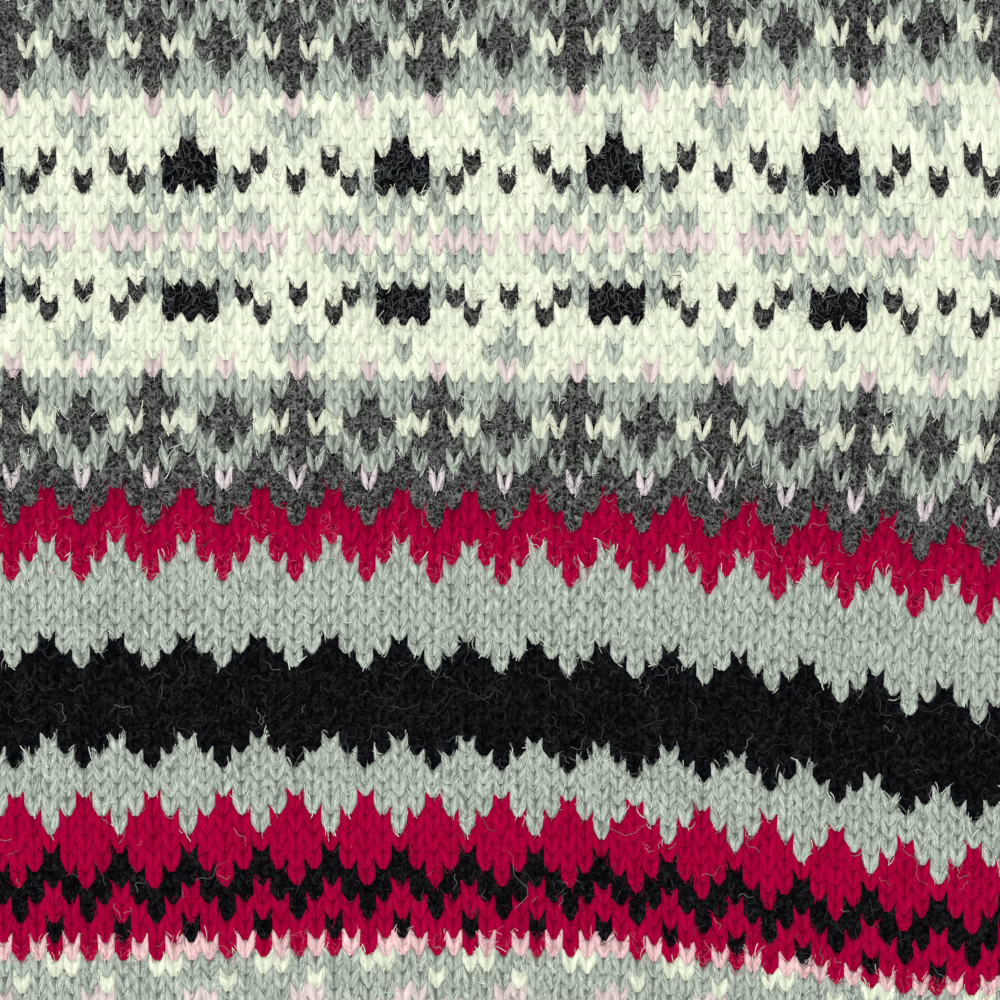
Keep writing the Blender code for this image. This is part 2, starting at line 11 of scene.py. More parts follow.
import bpy
import numpy as np
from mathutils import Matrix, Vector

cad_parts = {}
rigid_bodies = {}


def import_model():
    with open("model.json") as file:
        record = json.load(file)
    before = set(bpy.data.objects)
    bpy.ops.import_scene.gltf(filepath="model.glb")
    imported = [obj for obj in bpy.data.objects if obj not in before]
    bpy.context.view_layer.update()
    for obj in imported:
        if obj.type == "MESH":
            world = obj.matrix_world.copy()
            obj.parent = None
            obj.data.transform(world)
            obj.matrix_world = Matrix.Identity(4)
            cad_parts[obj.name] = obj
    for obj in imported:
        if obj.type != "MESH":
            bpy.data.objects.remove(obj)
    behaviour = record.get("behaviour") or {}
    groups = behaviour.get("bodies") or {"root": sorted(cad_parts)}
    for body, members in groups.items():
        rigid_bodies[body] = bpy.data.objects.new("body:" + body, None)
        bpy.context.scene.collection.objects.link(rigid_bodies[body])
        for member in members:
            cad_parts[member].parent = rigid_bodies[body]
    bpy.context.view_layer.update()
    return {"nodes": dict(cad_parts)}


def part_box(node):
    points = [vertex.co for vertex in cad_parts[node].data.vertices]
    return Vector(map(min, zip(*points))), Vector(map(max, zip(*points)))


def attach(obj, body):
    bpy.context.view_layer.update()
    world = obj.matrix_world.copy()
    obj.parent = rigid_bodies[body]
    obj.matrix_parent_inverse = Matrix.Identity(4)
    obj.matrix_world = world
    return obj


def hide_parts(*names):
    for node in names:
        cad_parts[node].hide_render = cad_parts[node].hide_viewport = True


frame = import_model()
print("nodes in the frame:", len(frame["nodes"]))

# %% [markdown]
# ## Where the garment lies
# All shapes below are worked out from the middle of the lower edge, as a knitter measures: x to the side and
# y up the body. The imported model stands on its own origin, so one shift, read from the frame, joins the two.

# %% The knitter's origin
hem_low, hem_high = (np.array(corner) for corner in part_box("hem_rib_back"))
ORIGIN = np.array([(hem_low[0] + hem_high[0]) / 2, hem_low[1], 0.0])
print("middle of the lower edge:", ORIGIN.round(4))

# %% Sizes of the pieces, in metres
WALL = 0.0024
SEAM = 0.0003
TIP = 0.0006
FRONT_UNDER = WALL + SEAM
FRONT_TOP = FRONT_UNDER + WALL
FOLD_HALF = FRONT_TOP / 2
BODY_LENGTH = 0.600
HEM_RIB = 0.060
HEM_HALF = 0.230
BODY_HALF = 0.238
CHEST_HALF = 0.245
SHOULDER_HALF = 0.200
SHOULDER_DROP = 0.030
ARMHOLE = 0.210
NECK_HALF = 0.088
FRONT_NECK = 0.080
BACK_NECK = 0.018
GATHER = 0.018
UNDERARM = BODY_LENGTH - SHOULDER_DROP - ARMHOLE
RIB_PITCH = 0.0125
RIB_BASE = 0.0018
RIB_HEIGHT = 0.0013
BAND = 0.034
BAND_SHIFT = 0.0015
FRONT_EDGE = BAND / 2 + BAND_SHIFT
BAND_RIDGES = 4
BAND_RIDGE = 0.0052
NECKBAND = 0.025
NECKBAND_LEAN = math.radians(32)
SLEEVE_ANGLE = math.radians(45)
SLEEVE_HALF = 0.085
SLEEVE_LENGTH = 0.380
WRIST_HALF = 0.050
CUFF_HALF = 0.043
CUFF_LENGTH = 0.060
BUTTONS = 7
SIDES = (("left", 1), ("right", -1))  # the wearer's left lies toward +X
SLIT = 0.016
SLIT_HALF = 0.0008
FIRST_BUTTON = 0.022
BAND_TOP = BODY_LENGTH - FRONT_NECK + NECKBAND
UPPER_UNDER = FRONT_UNDER + RIB_BASE + RIB_HEIGHT + SEAM
FOLDS = (  # middle, direction from +X, half length, half width and height of each soft fold
    {"x": 0.196, "y": 0.318, "turn": 38, "long": 0.052, "wide": 0.011, "high": 0.0036},
    {"x": 0.300, "y": 0.372, "turn": -50, "long": 0.060, "wide": 0.012, "high": 0.0042},
    {"x": 0.330, "y": 0.330, "turn": -62, "long": 0.038, "wide": 0.009, "high": 0.0026},
    {"x": 0.436, "y": 0.262, "turn": -30, "long": 0.046, "wide": 0.011, "high": 0.0032},
    {"x": 0.210, "y": 0.470, "turn": 75, "long": 0.055, "wide": 0.012, "high": 0.0024},
    {"x": -0.190, "y": 0.306, "turn": 146, "long": 0.058, "wide": 0.012, "high": 0.0034},
    {"x": -0.296, "y": 0.384, "turn": 232, "long": 0.052, "wide": 0.011, "high": 0.0046},
    {"x": -0.352, "y": 0.318, "turn": 244, "long": 0.042, "wide": 0.010, "high": 0.0028},
    {"x": -0.470, "y": 0.236, "turn": 205, "long": 0.040, "wide": 0.012, "high": 0.0030},
    {"x": -0.208, "y": 0.462, "turn": 104, "long": 0.050, "wide": 0.012, "high": 0.0026},
)

# %% [markdown]
# ## What the picture shows
# The picture is a square of about 186 mm on the left front. Its middle is a named place on the garment, and
# everything read off the picture is turned into metres from that middle.

# %% The picture's place
PICTURE = 0.1864  # side of the square that the camera sees
PICTURE_MIDDLE = np.array([0.1275, 0.1800])
random = np.random.default_rng(7)

# %% [markdown]
# ## Outlines of the panels
# A knitted front is a shaped piece: a side seam, an armhole, a shoulder and a scooped neck. Each edge is a
# short formula, and a panel is the net of points between its inner and its outer edge.

# %% Outline formulas
def smooth(value):
    """0 below 0, 1 above 1, and between them three squares less two cubes."""
    held = np.clip(value, 0.0, 1.0)
    return held * held * (3 - 2 * held)


def run_along(points):
    """Distance of each point of a line from its start."""
    steps = np.linalg.norm(np.diff(points, axis=0), axis=1)
    return np.concatenate([[0.0], np.cumsum(steps)])


def resample(points, shares):
    """Points at these shares of a line's length."""
    run = run_along(points)
    return np.stack([np.interp(shares, run / run[-1], points[:, axis]) for axis in (0, 1)], axis=-1)


def side_x(height):
    """Half the body's width: drawn in to the rib, then an even widening to the chest."""
    drawn = (BODY_HALF - HEM_HALF) * (1 - smooth((height - HEM_RIB) / GATHER))
    rise = (height - HEM_RIB) / (UNDERARM - HEM_RIB)
    return BODY_HALF + (CHEST_HALF - BODY_HALF) * np.clip(rise, 0, 1) - drawn


def armhole_line(count=60):
    """Quarter of an ellipse, in from the underarm and up to the shoulder's tip."""
    turn = np.linspace(0, math.pi / 2, count)
    x = SHOULDER_HALF + (CHEST_HALF - SHOULDER_HALF) * (1 - np.sin(turn))
    y = UNDERARM + ARMHOLE * (1 - np.cos(turn))
    return np.stack([x, y], axis=1)


def side_line():
    """Side seam from the rib to the underarm, then the armhole."""
    height = np.linspace(HEM_RIB + SEAM, UNDERARM, 40)
    return np.concatenate([np.stack([side_x(height), height], axis=1), armhole_line()[1:]])


def neck_line(count=40):
    """Quarter of an ellipse from the front edge up to the shoulder."""
    turn = np.linspace(0, math.pi / 2, count)
    x = FRONT_EDGE + (NECK_HALF - FRONT_EDGE) * np.sin(turn)
    y = BODY_LENGTH - FRONT_NECK * np.cos(turn)
    return np.stack([x, y], axis=1)


def back_neck_y(x):
    """The back neck's hollow: a quarter of a cosine wave each way."""
    return BODY_LENGTH - BACK_NECK * np.cos(np.clip(np.abs(x) / NECK_HALF, 0, 1) * math.pi / 2)


def shoulder_y(x):
    """Top of the back: the neck's hollow, then a straight slope to the shoulder's tip."""
    slope = SHOULDER_DROP * (np.abs(x) - NECK_HALF) / (SHOULDER_HALF - NECK_HALF)
    return np.where(np.abs(x) < NECK_HALF, back_neck_y(x), BODY_LENGTH - slope)


def inside_depth(points, outline):
    """Distance of each point from a closed outline, positive inside it: the nearest of all its straight
    pieces, signed by how often a line to the right crosses the outline."""
    start, end = outline, np.roll(outline, -1, axis=0)
    step = end - start
    best = np.full(len(points), 1e9)
    crossed = np.zeros(len(points), bool)
    for (x0, y0), (dx, dy), (_, y1) in zip(start, step, end):
        to_x, to_y = points[:, 0] - x0, points[:, 1] - y0
        share = np.clip((to_x * dx + to_y * dy) / max(dx * dx + dy * dy, 1e-18), 0, 1)
        best = np.minimum(best, (to_x - share * dx) ** 2 + (to_y - share * dy) ** 2)
        if dy:
            spans = (y0 > points[:, 1]) != (y1 > points[:, 1])
            crossed ^= spans & (to_x < to_y * dx / dy)
    return np.where(crossed, 1, -1) * np.sqrt(best)


front_outline = np.concatenate([
    [[FRONT_EDGE, HEM_RIB + SEAM]], side_line(), neck_line()[::-1],
])
back_top = np.linspace(SHOULDER_HALF, -SHOULDER_HALF, 81)
back_outline = np.concatenate([
    side_line(), np.stack([back_top, shoulder_y(back_top)], axis=1), side_line()[::-1] * [-1, 1],
])
print("front outline:", len(front_outline), "points; back outline:", len(back_outline))

# %% [markdown]
# ## Heights
# The fronts lie on the back with a little air, and a few soft folds rise from them. An edge that lies down on
# the layer below is rolled over, a quarter round.

# %% Height formulas
AIR = 0.0004  # half the height of the air under the cloth
AIR_WAVES = (31, 27)  # turn of its two waves for each metre, across and up
AIR_START = (0.7, 1.9)
FADE = 0.020  # air and folds fade away within this distance of an edge


def relief(x, y):
    """Rise above flat: a low double wave of air, and each fold as a bell-shaped ridge."""
    rise = AIR * (1 + np.sin(x * AIR_WAVES[0] + AIR_START[0]) * np.sin(y * AIR_WAVES[1] + AIR_START[1]))
    for fold in FOLDS:
        turn = math.radians(fold["turn"])
        along = (x - fold["x"]) * math.cos(turn) + (y - fold["y"]) * math.sin(turn)
        across = (y - fold["y"]) * math.cos(turn) - (x - fold["x"]) * math.sin(turn)
        rise = rise + fold["high"] * np.exp(-((along / fold["long"]) ** 2) - (across / fold["wide"]) ** 2)
    return rise


def roll(distance):
    """What a wall has lost at this distance from its rolled edge: a quarter round."""
    share = 1 - np.clip(distance / WALL, 0, 1)
    return (WALL - TIP) * (1 - np.sqrt(1 - share * share))


def front_edge_gap(x, y):
    """Distance of a front's point from its side seam or its shoulder, the edges that roll over."""
    side_gap = np.where(y < UNDERARM, side_x(y) - x, 1.0)
    top_gap = np.where(x > NECK_HALF - WALL, shoulder_y(x) - y, 1.0)
    return np.maximum(np.minimum(side_gap, top_gap), 0.0)


CLOTH_SHARE = 0.66  # of the wall is the cloth, and the stitches stand on the rest


def front_heights(side, x, y):
    """Underside, ground of the stitches and share of full wall of a front; x is taken toward its own side."""
    near = front_edge_gap(x, y)
    lift = relief(side * x, y) * smooth(near / FADE)
    wall = WALL - roll(near)
    return FRONT_UNDER + lift, FRONT_UNDER + lift + wall * CLOTH_SHARE, wall / WALL


front_ground = float(front_heights(1, 0.12, 0.2)[1])
print("a front's top lies", round(front_ground * 1000, 2), "mm up before its stitches")

# %% [markdown]
# ## Gauge
# Rows knitted with two colours stand taller than plain ones, because the spare yarn behind fills them out.
# The wales draw together a little toward the hem, and the rows hang lower toward the side seam. Hands that
# lay a garment out pull it here and there too, so its stitches stray a little from an even grid.

# %% The grid of stitches
PERIOD = 96  # rows from one middle row of the pattern to the next
TALL_ROW = 0.00343
PLAIN_ROW = 0.00265
LOW_ROW = 0.00305
NEAR_ROWS = ((-20, 0.00357), (-3, 0.00376), (0, 0.00331))  # past each of these rows, up to row 3
WALE = {"top": 0.00334, "bottom": 0.00316}  # width of a stitch at the picture's upper and lower edge
SECOND_WALE = np.array([0.0697, 0.2255])  # where wale 2 meets the middle row of the pattern
EDGE_MARGIN = 0.0006  # no stitch has its middle nearer to an edge than this


def chart_row(row):
    """Rows of the chart go 0 to 48 and back again: a fold of the row number about every 48th row."""
    return np.abs((np.asarray(row) + PERIOD // 2) % PERIOD - PERIOD // 2)


all_rows = np.arange(-140, 80)
place_in_chart = chart_row(all_rows[1:])
row_steps = np.where(place_in_chart > 41, LOW_ROW, TALL_ROW)
row_steps[(place_in_chart > 18) & (place_in_chart < 34)] = PLAIN_ROW
for first, step in NEAR_ROWS:
    row_steps[(all_rows[1:] > first) & (all_rows[1:] <= 3)] = step
row_drop = np.concatenate([[0.0], np.cumsum(row_steps)])
row_drop -= row_drop[all_rows == 0]
SAG = (  # height above the picture's middle, and how far a row sags there, SAG_REACH to the right
    (-0.125, 0.0), (-0.079, 0.0063), (-0.054, 0.0071), (-0.031, 0.0076), (-0.015, 0.0058), (0.002, 0.0050),
    (0.037, 0.0015), (0.062, 0.0), (0.072, -0.0013), (0.093, -0.0018), (0.135, 0.0),
)
SAG_REACH = 0.068  # distance from the picture's middle


def sag(x, y):
    """How far a row hangs below level: nothing up to a starting place, then a power of the distance past
    it. Both the place and the power follow the height."""
    right, up = x - PICTURE_MIDDLE[0], y - PICTURE_MIDDLE[1]
    height, drop = np.array(SAG).T
    start = np.interp(up, [-0.084, -0.019, 0.093], [0.019, -0.022, -0.019])
    power = np.interp(up, [-0.084, -0.019], [1.35, 2.0])
    share = np.clip((right - start) / (SAG_REACH - start), 0, 1.2)
    return np.interp(up, height, drop) * share**power


# The numbers in the next two tables are a program's, not chosen by hand: small windows of a render of this
# scene were matched with the photograph, and the shifts that were found are written here.
SKEW_DOWN = np.array([45, 185, 305, 430, 545, 660, 755, 870, 915, 960])  # one for each line of the tables
SKEW_RIGHT = np.array([170, 260, 350, 440, 530, 620, 710, 780, 835])  # one for each number in a line
PULLED_RIGHT = [  # how far the knitting is pulled right at these places: thousandths of the picture
    (-3, -6, -8, -8, -9, -8, -7, -9, -11),
    (0, -1, 0, -1, -2, 0, 2, 2, 4),
    (0, 2, 3, 1, 2, 4, 8, 13, 16),
    (-3, 2, 5, 3, 0, 2, 6, 7, 9),
    (-5, 0, 4, 1, 0, -1, -1, -1, -1),
    (-5, -1, 2, 1, -1, -4, -4, -6, -6),
    (-4, 0, 4, 2, 1, -2, -3, -4, -6),
    (-2, 3, 5, 5, 4, 1, -2, -4, -4),
    (0, 5, 8, 8, 7, 5, 1, -2, -3),
    (1, 6, 9, 9, 7, 6, 3, 2, 0),
]
PULLED_DOWN = [  # and how far down
    (-3, -2, 0, -3, -4, -6, -12, -9, -8),
    (-1, -3, 1, 0, -3, -2, -5, -2, 0),
    (-7, -3, -3, -2, -1, -6, -4, -6, -5),
    (-4, -3, -2, -1, -1, -3, -7, -4, -6),
    (-6, -5, -5, -3, -3, -6, -7, -6, -5),
    (-3, -4, -3, 0, -1, -3, -5, -8, -8),
    (-2, -4, -3, 0, 0, 0, -4, -5, -4),
    (0, -3, -3, -2, 0, 1, -1, 0, 0),
    (-5, -9, -9, -9, -8, -6, -3, -1, 0),
    (-1, -5, -7, -7, -6, -4, -3, -3, -3),
]
SKEW = np.array([PULLED_RIGHT, PULLED_DOWN]) * PICTURE / 1000
SKEW_FADE = 268  # thousandths of the picture: beyond its edge the pull fades out over 50 mm


def skew(x, y):
    """Pull to the right and down at a plan point: the tables above, even between their places, fading out
    beyond the picture's edge."""
    right = (x - PICTURE_MIDDLE[0]) / PICTURE * 1000 + 500
    down = (PICTURE_MIDDLE[1] - y) / PICTURE * 1000 + 500
    i = np.interp(down, SKEW_DOWN, np.arange(len(SKEW_DOWN)))
    j = np.interp(right, SKEW_RIGHT, np.arange(len(SKEW_RIGHT)))
    i0, j0 = np.minimum(i.astype(int), len(SKEW_DOWN) - 2), np.minimum(j.astype(int), len(SKEW_RIGHT) - 2)
    low, high = (
        SKEW[:, i0 + k, j0] + (SKEW[:, i0 + k, j0 + 1] - SKEW[:, i0 + k, j0]) * (j - j0) for k in (0, 1)
    )
    outside = np.maximum(np.abs(right - 500), np.abs(down - 500)) - 500
    return (low + (high - low) * (i - i0)) * (1 - smooth(outside / SKEW_FADE))


def front_place(wale, row, sway=1.0):
    """Plan point of a place in the grid of stitches: the row gives the height, less its sag, and the wale the
    side, at a pitch that follows the height. On the left front, whose sway is 1, the skew is added."""
    level = SECOND_WALE[1] - np.interp(row, all_rows, row_drop)
    low, high = PICTURE_MIDDLE[1] - PICTURE / 2, PICTURE_MIDDLE[1] + PICTURE / 2
    pitch = np.interp(level, [low, high], [WALE["bottom"], WALE["top"]])
    x = SECOND_WALE[0] + (wale - 2) * pitch
    y = level - sway * sag(x, level)
    right, down = skew(x, y) if sway == 1.0 else (0.0, 0.0)
    return x + right, y - down


def front_row(x, y, sway=1.0):
    """The row at a plan point: the other way round from front_place."""
    level = y + sway * sag(x, y) + (skew(x, y)[1] if sway == 1.0 else 0.0)
    return np.interp(SECOND_WALE[1] - level, row_drop, all_rows)


def grid(wales, rows):
    """Each of these wales with each of these rows, as two lists."""
    return (axis.ravel() for axis in np.meshgrid(wales, rows, indexing="ij"))


print("one repeat is", round(float(np.interp(PERIOD, all_rows, row_drop)) * 1000), "mm high")

# %% [markdown]
# ## The chart
# Fair isle is knitted from a chart: for each row a ground colour, and every so many stitches another one. It
# is written here row by row, outward from the middle row; the rows above it are the same, mirrored.

# %% Yarns and chart
YARNS = {  # linear red, green and blue, and how heathered the yarn is
    "cream": (0.64, 0.68, 0.546, 0.07),
    "grey": (0.37, 0.417, 0.36, 0.38),
    "charcoal": (0.0215, 0.023, 0.0215, 1.0),
    "soot": (0.012, 0.013, 0.012, 0.80),
    "black": (0.0026, 0.0026, 0.0038, 0.26),
    "crimson": (0.33, 0.000, 0.036, 0.10),
    "pink": (0.62, 0.535, 0.52, 0.11),
    "pale": (0.66, 0.60, 0.60, 0.22),
    "blush": (0.70, 0.47, 0.48, 0.18),
}
YARN_NAMES = list(YARNS)
GREY, CHARCOAL, SOOT, BLACK, CRIMSON = (
    YARN_NAMES.index(name) for name in ("grey", "charcoal", "soot", "black", "crimson")
)
CHART = {  # row: ground, then (yarn, out of how many wales, at which places)
    0: ("pink", ("cream", 12, (1, 3, 8))),
    1: ("cream", ("grey", 12, (1, 3, 5, 6, 10, 11))),
    2: ("cream", ("grey", 12, (0, 2, 4))),
    3: ("cream", ("black", 12, (1, 2, 3)), ("soot", 12, (5, 8, 11)), ("grey", 12, (0, 4))),
    4: ("cream", ("black", 12, (1, 2, 3)), ("soot", 12, (6, 10))),
    5: ("cream", ("grey", 12, (8,))),
    6: ("cream", ("grey", 12, (2, 7, 8, 9))),
    7: ("cream", ("pink", 4, (0,))),
    8: ("grey", ("charcoal", 8, (0,))),
    9: ("grey", ("charcoal", 8, (0, 1, 4, 7))),
    10: ("cream", ("charcoal", 8, (0, 3, 4, 5))),
    11: ("grey", ("charcoal", 8, (0, 1, 4, 7))),
    12: ("grey", ("charcoal", 8, (0,)), ("charcoal", 4, (2,))),
    13: ("charcoal", ("pale", 4, (0,))),
    14: ("charcoal", ("crimson", 4, (2,))),
    15: ("crimson", ("charcoal", 4, (0,))),
    16: ("crimson",),
    17: ("crimson", ("grey", 4, (2,))),
    18: ("grey", ("crimson", 4, (0,))),
    **{row: ("grey",) for row in (19, 20, 21, 22, 32, 33)},
    23: ("grey", ("black", 4, (2,))),
    24: ("black", ("grey", 4, (0,))),
    **{row: ("black",) for row in range(25, 30)},
    30: ("black", ("grey", 4, (2,))),
    31: ("grey", ("black", 4, (0,))),
    34: ("grey", ("crimson", 4, (0,))),
    35: ("crimson", ("grey", 4, (2,))),
    36: ("crimson",),
    37: ("crimson", ("black", 4, (2,))),
    38: ("black", ("crimson", 4, (0,))),
    39: ("black", ("crimson", 4, (2,))),
    40: ("crimson", ("black", 4, (0,))),
    41: ("crimson", ("black", 4, (2,))),
    42: ("blush", ("crimson", 2, (0,)), ("blush", 12, (2,))),
    43: ("grey", ("cream", 12, (0, 1, 6, 7))),
    44: ("grey", ("cream", 12, (4, 9))),
    45: ("grey", ("pink", 12, (2, 3, 8, 9))),
    46: ("pink", ("grey", 6, (0, 3))),
    47: ("cream", ("grey", 4, (2,))),
    48: ("grey", ("cream", 4, (0, 1))),
}


def is_crown(wale, row):
    """The one stitch on top of each block above the middle row."""
    return ((np.asarray(row) + 5) % PERIOD == 0) & (np.asarray(wale) % 12 == 2)


def yarn_at(wale, row):
    """Number of the yarn at whole places of the grid: black for a crown, and the chart's for any other."""
    crown = is_crown(wale, row)
    wale, row = np.broadcast_arrays(wale, chart_row(row))
    found = np.zeros(row.shape, int)
    for number, (ground, *motifs) in CHART.items():
        here = row == number
        found[here] = YARN_NAMES.index(ground)
        for yarn, every, places in motifs:
            found[here & np.isin(wale % every, places)] = YARN_NAMES.index(yarn)
    return np.where(crown, BLACK, found)


yarn_table = np.array([YARNS[name] for name in YARN_NAMES])
print("chart rows:", len(CHART), "yarns:", ", ".join(YARN_NAMES))

# %% [markdown]
# ## Putting arrays into a mesh
# A mesh with hundreds of thousands of corners is filled whole, from arrays. Faces come as arrays of threes
# and fours, and any value for each point becomes an attribute or a UV map that a material can read.

# %% Mesh helper
def add_mesh(name, points, faces, finish, colours=None, values=None, maps=None, facing=None):
    """Object of arrays: points in the knitter's measure, faces as a list of (n, 3) and (n, 4) arrays, a
    colour and named values for each point, and UV maps given as (u, v) for each point. facing is +1 or -1
    where all faces should look up or down."""
    points = np.asarray(points, float).reshape(-1, 3)
    if facing is not None:
        turned = []
        for group in faces:
            a, b, c = (points[group[:, corner]] for corner in (0, 1, 2))
            up = np.cross(b - a, c - a)[:, 2] * facing
            turned.append(np.where(up[:, None] < 0, group[:, ::-1], group))
        faces = turned
    mesh = bpy.data.meshes.new(name)
    corners = np.concatenate([group.ravel() for group in faces])
    sizes = np.concatenate([np.full(len(group), group.shape[1]) for group in faces])
    mesh.vertices.add(len(points))
    mesh.vertices.foreach_set("co", (points + ORIGIN).astype(np.float32).ravel())
    mesh.loops.add(len(corners))
    mesh.loops.foreach_set("vertex_index", corners.astype(np.int32))
    mesh.polygons.add(len(sizes))
    mesh.polygons.foreach_set("loop_start", np.concatenate([[0], np.cumsum(sizes)[:-1]]).astype(np.int32))
    mesh.update(calc_edges=True)
    mesh.shade_smooth()
    if colours is not None:
        layer = mesh.attributes.new("yarn", "FLOAT_COLOR", "POINT")
        layer.data.foreach_set("color", np.asarray(colours, np.float32).ravel())
    for label, value in (values or {}).items():
        layer = mesh.attributes.new(label, "FLOAT", "POINT")
        layer.data.foreach_set("value", np.asarray(value, np.float32).ravel())
    for label, place in (maps or {}).items():
        layer = mesh.uv_layers.new(name=label)
        layer.data.foreach_set("uv", np.asarray(place, np.float32).reshape(-1, 2)[corners].ravel())
    thing = bpy.data.objects.new(name, mesh)
    bpy.context.scene.collection.objects.link(thing)
    mesh.materials.append(finish)
    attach(thing, "root")
    return thing


def flat_map(points):
    """A plan map for baking: x and y of each point, from 0 to 1 over the piece."""
    plan = np.asarray(points).reshape(-1, 3)[:, :2]
    low, high = plan.min(axis=0), plan.max(axis=0)
    return (plan - low) / (high - low).max()


def own_faces(count, per, *groups):
    """The faces of one small form, repeated for this many forms of this many points each."""
    offset = (np.arange(count) * per)[:, None, None]
    return [(group[None] + offset).reshape(-1, group.shape[1]) for group in groups]


# %% [markdown]
# ## Shader maths as plain expressions
# A material is a tree of small nodes. One class wraps a socket, so that sums and products of sockets read as
# sums and products, and one method adds any other node.

# %% Socket class
class Signal:
    """One socket of a material. Operators on it add Math nodes."""

    def __init__(self, tree, socket=None):
        self.tree, self.socket = tree, socket

    def make(self, kind, settings=None, sockets=None, out=0):
        """Adds a node: its settings first, a ramp's stops among them, then its sockets' values or links."""
        node = self.tree.nodes.new(kind)
        for name, value in (settings or {}).items():
            if name == "stops":
                ramp = node.color_ramp
                while len(ramp.elements) < len(value):
                    ramp.elements.new(1.0)
                for element, (place, colour) in zip(ramp.elements, value):
                    element.position = place
                    element.color = (*colour[:3], 1.0)
            elif name == "interpolation" and hasattr(node, "color_ramp"):
                node.color_ramp.interpolation = value
            else:
                setattr(node, name, value)
        for key, value in (sockets or {}).items():
            if isinstance(value, Signal):
                self.tree.links.new(value.socket, node.inputs[key])
            else:
                node.inputs[key].default_value = value
        return Signal(self.tree, node.outputs[out])

    def sums(self, operation, first, second=0.0):
        """Any Math node, by the name of its operation."""
        return self.make("ShaderNodeMath", {"operation": operation}, {0: first, 1: second})

    def __add__(self, other):
        return self.sums("ADD", self, other)

    def __sub__(self, other):
        return self.sums("SUBTRACT", self, other)

    def __rsub__(self, other):
        return self.sums("SUBTRACT", other, self)

    def __mul__(self, other):
        return self.sums("MULTIPLY", self, other)

    def __pow__(self, other):
        return self.sums("POWER", self, other)

    __radd__ = __add__
    __rmul__ = __mul__

    def attribute(self, name, out=0):
        """An attribute of the mesh: output 0 is its colour, 2 its single value and 3 the colour's alpha."""
        return self.make("ShaderNodeAttribute", {"attribute_name": name}, out=out)

    def position(self):
        """Place on the object, in its own coordinates."""
        return self.make("ShaderNodeTexCoord", out=3)

    def stretched(self, place, scale):
        """Coordinates times a scale along each axis."""
        return self.make("ShaderNodeMapping", None, {"Vector": place, "Scale": scale})

    def noise(self, place, scale, detail, distortion=0.0):
        """Cloudy noise at a scale, with this many finer layers, and warped where distortion is given."""
        sockets = {"Vector": place, "Scale": scale, "Detail": detail, "Distortion": distortion}
        return self.make("ShaderNodeTexNoise", None, sockets)

    def scaled(self, colour, factor):
        """A colour times a number."""
        return self.make("ShaderNodeVectorMath", {"operation": "SCALE"}, {0: colour, 3: factor})

    def bump(self, strength, distance, height):
        """Normal that is tilted by the slope of a height."""
        sockets = {"Strength": strength, "Distance": distance, "Height": height}
        return self.make("ShaderNodeBump", None, sockets)


def new_finish(name, roughness, sheen=0.0):
    """Material with a Principled shader whose even values are set. Gives it, its shader and a Signal."""
    finish = bpy.data.materials.new(name)
    finish.use_nodes = True
    shader = finish.node_tree.nodes["Principled BSDF"]
    shader.inputs["Roughness"].default_value = roughness
    shader.inputs["Sheen Weight"].default_value = sheen
    shader.inputs["Sheen Roughness"].default_value = 0.5
    shader.inputs["Specular IOR Level"].default_value = 0.0
    return finish, shader, Signal(finish.node_tree)


def feed(shader, colour=None, bump=None):
    """Links a colour and a bump to the shader."""
    for name, signal in (("Base Color", colour), ("Normal", bump)):
        if signal is not None:
            signal.tree.links.new(signal.socket, shader.inputs[name])


# %% [markdown]
# ## Wool
# The legs of a stitch are bundles of fine hairs. Lengthwise streaks come from a noise that is stretched along
# each leg's own UV map, and the heather of the greys from a fine noise in space. The crest of a leg is bright
# and soft, and its sides sink into painted shade.

# %% Wool finish
def curls(start, place, size, thin, offset):
    """Fine curly lines: a noise runs through its middle value along lines, and only what is nearer to that
    value than thin is kept. size is the width of one curl."""
    moved = start.make("ShaderNodeMapping", None, {"Vector": place, "Location": offset})
    away = start.sums("ABSOLUTE", start.noise(moved, 1 / size, 1.0, 0.6) - 0.5)
    return start.sums("MAXIMUM", 1 - away * (1 / thin), 0.0)


def wool_finish(name):
    """Colour is the yarn's own, with painted shade down the sides and toward the ends of the leg by its crest
    attribute, but less so in pale yarn, times the streaks of hairs that lie along it, stronger where the yarn
    is heathered, plus pale curls there. The same streaks make the bump."""
    finish, shader, start = new_finish(name, 1.0)
    yarn = start.attribute("yarn")
    heathered = start.attribute("yarn", out=3)
    crest = start.attribute("crest", out=2)
    leg = start.make("ShaderNodeUVMap", {"uv_map": "leg"})
    place = start.position()
    streak = start.noise(start.stretched(leg, (5.0, 2.2, 1.0)), 1.0, 2.0)
    fine = start.noise(start.stretched(leg, (9.0, 3.6, 1.0)), 1.0, 1.0)
    wide_curls = curls(start, place, 0.0021, 0.050, (0, 0, 0))
    small_curls = curls(start, place, 0.0013, 0.055, (0.3, 0.1, 0.2))
    strength = heathered * 4.2 + 0.2
    streaks = ((streak - 0.5) + (fine - 0.5) * 0.8) * strength
    light = start.sums("MAXIMUM", streaks + 1.0, 0.12)
    green = start.make("ShaderNodeSeparateColor", None, {"Color": yarn}, out=1)
    # painted shade: the colour darkens by depth where the crest is low, down a leg's sides, toward its ends
    # and most in the beds; depth is larger in heathered yarn and smaller in pale yarn
    depth = heathered * 0.45 + 0.18 - green**4 * 0.8
    shade = 1 - (1 - crest) * depth
    colour = start.scaled(yarn, light * shade)
    pale = start.scaled((1, 1, 0.99), (wide_curls + small_curls) * heathered * heathered * 0.11)
    both = start.make("ShaderNodeVectorMath", {"operation": "ADD"}, {0: colour, 1: pale})
    bump = start.bump(0.4, 0.00025, streak * 0.6 + fine * 0.4)
    feed(shader, both, bump)
    return finish


wool = wool_finish("wool_stitches")

# %% [markdown]
# ## The cloth under the stitches
# Behind the legs lies the rest of each loop. A plain wall stands for it, coloured in bands by its row and
# darkened as painted shade, so that no light shows between two legs.

# %% Ground finish
RAMP_ROWS = 50  # rows of the chart that the ramp's length stands for
MOST_STOPS = 30  # a ramp holds 32


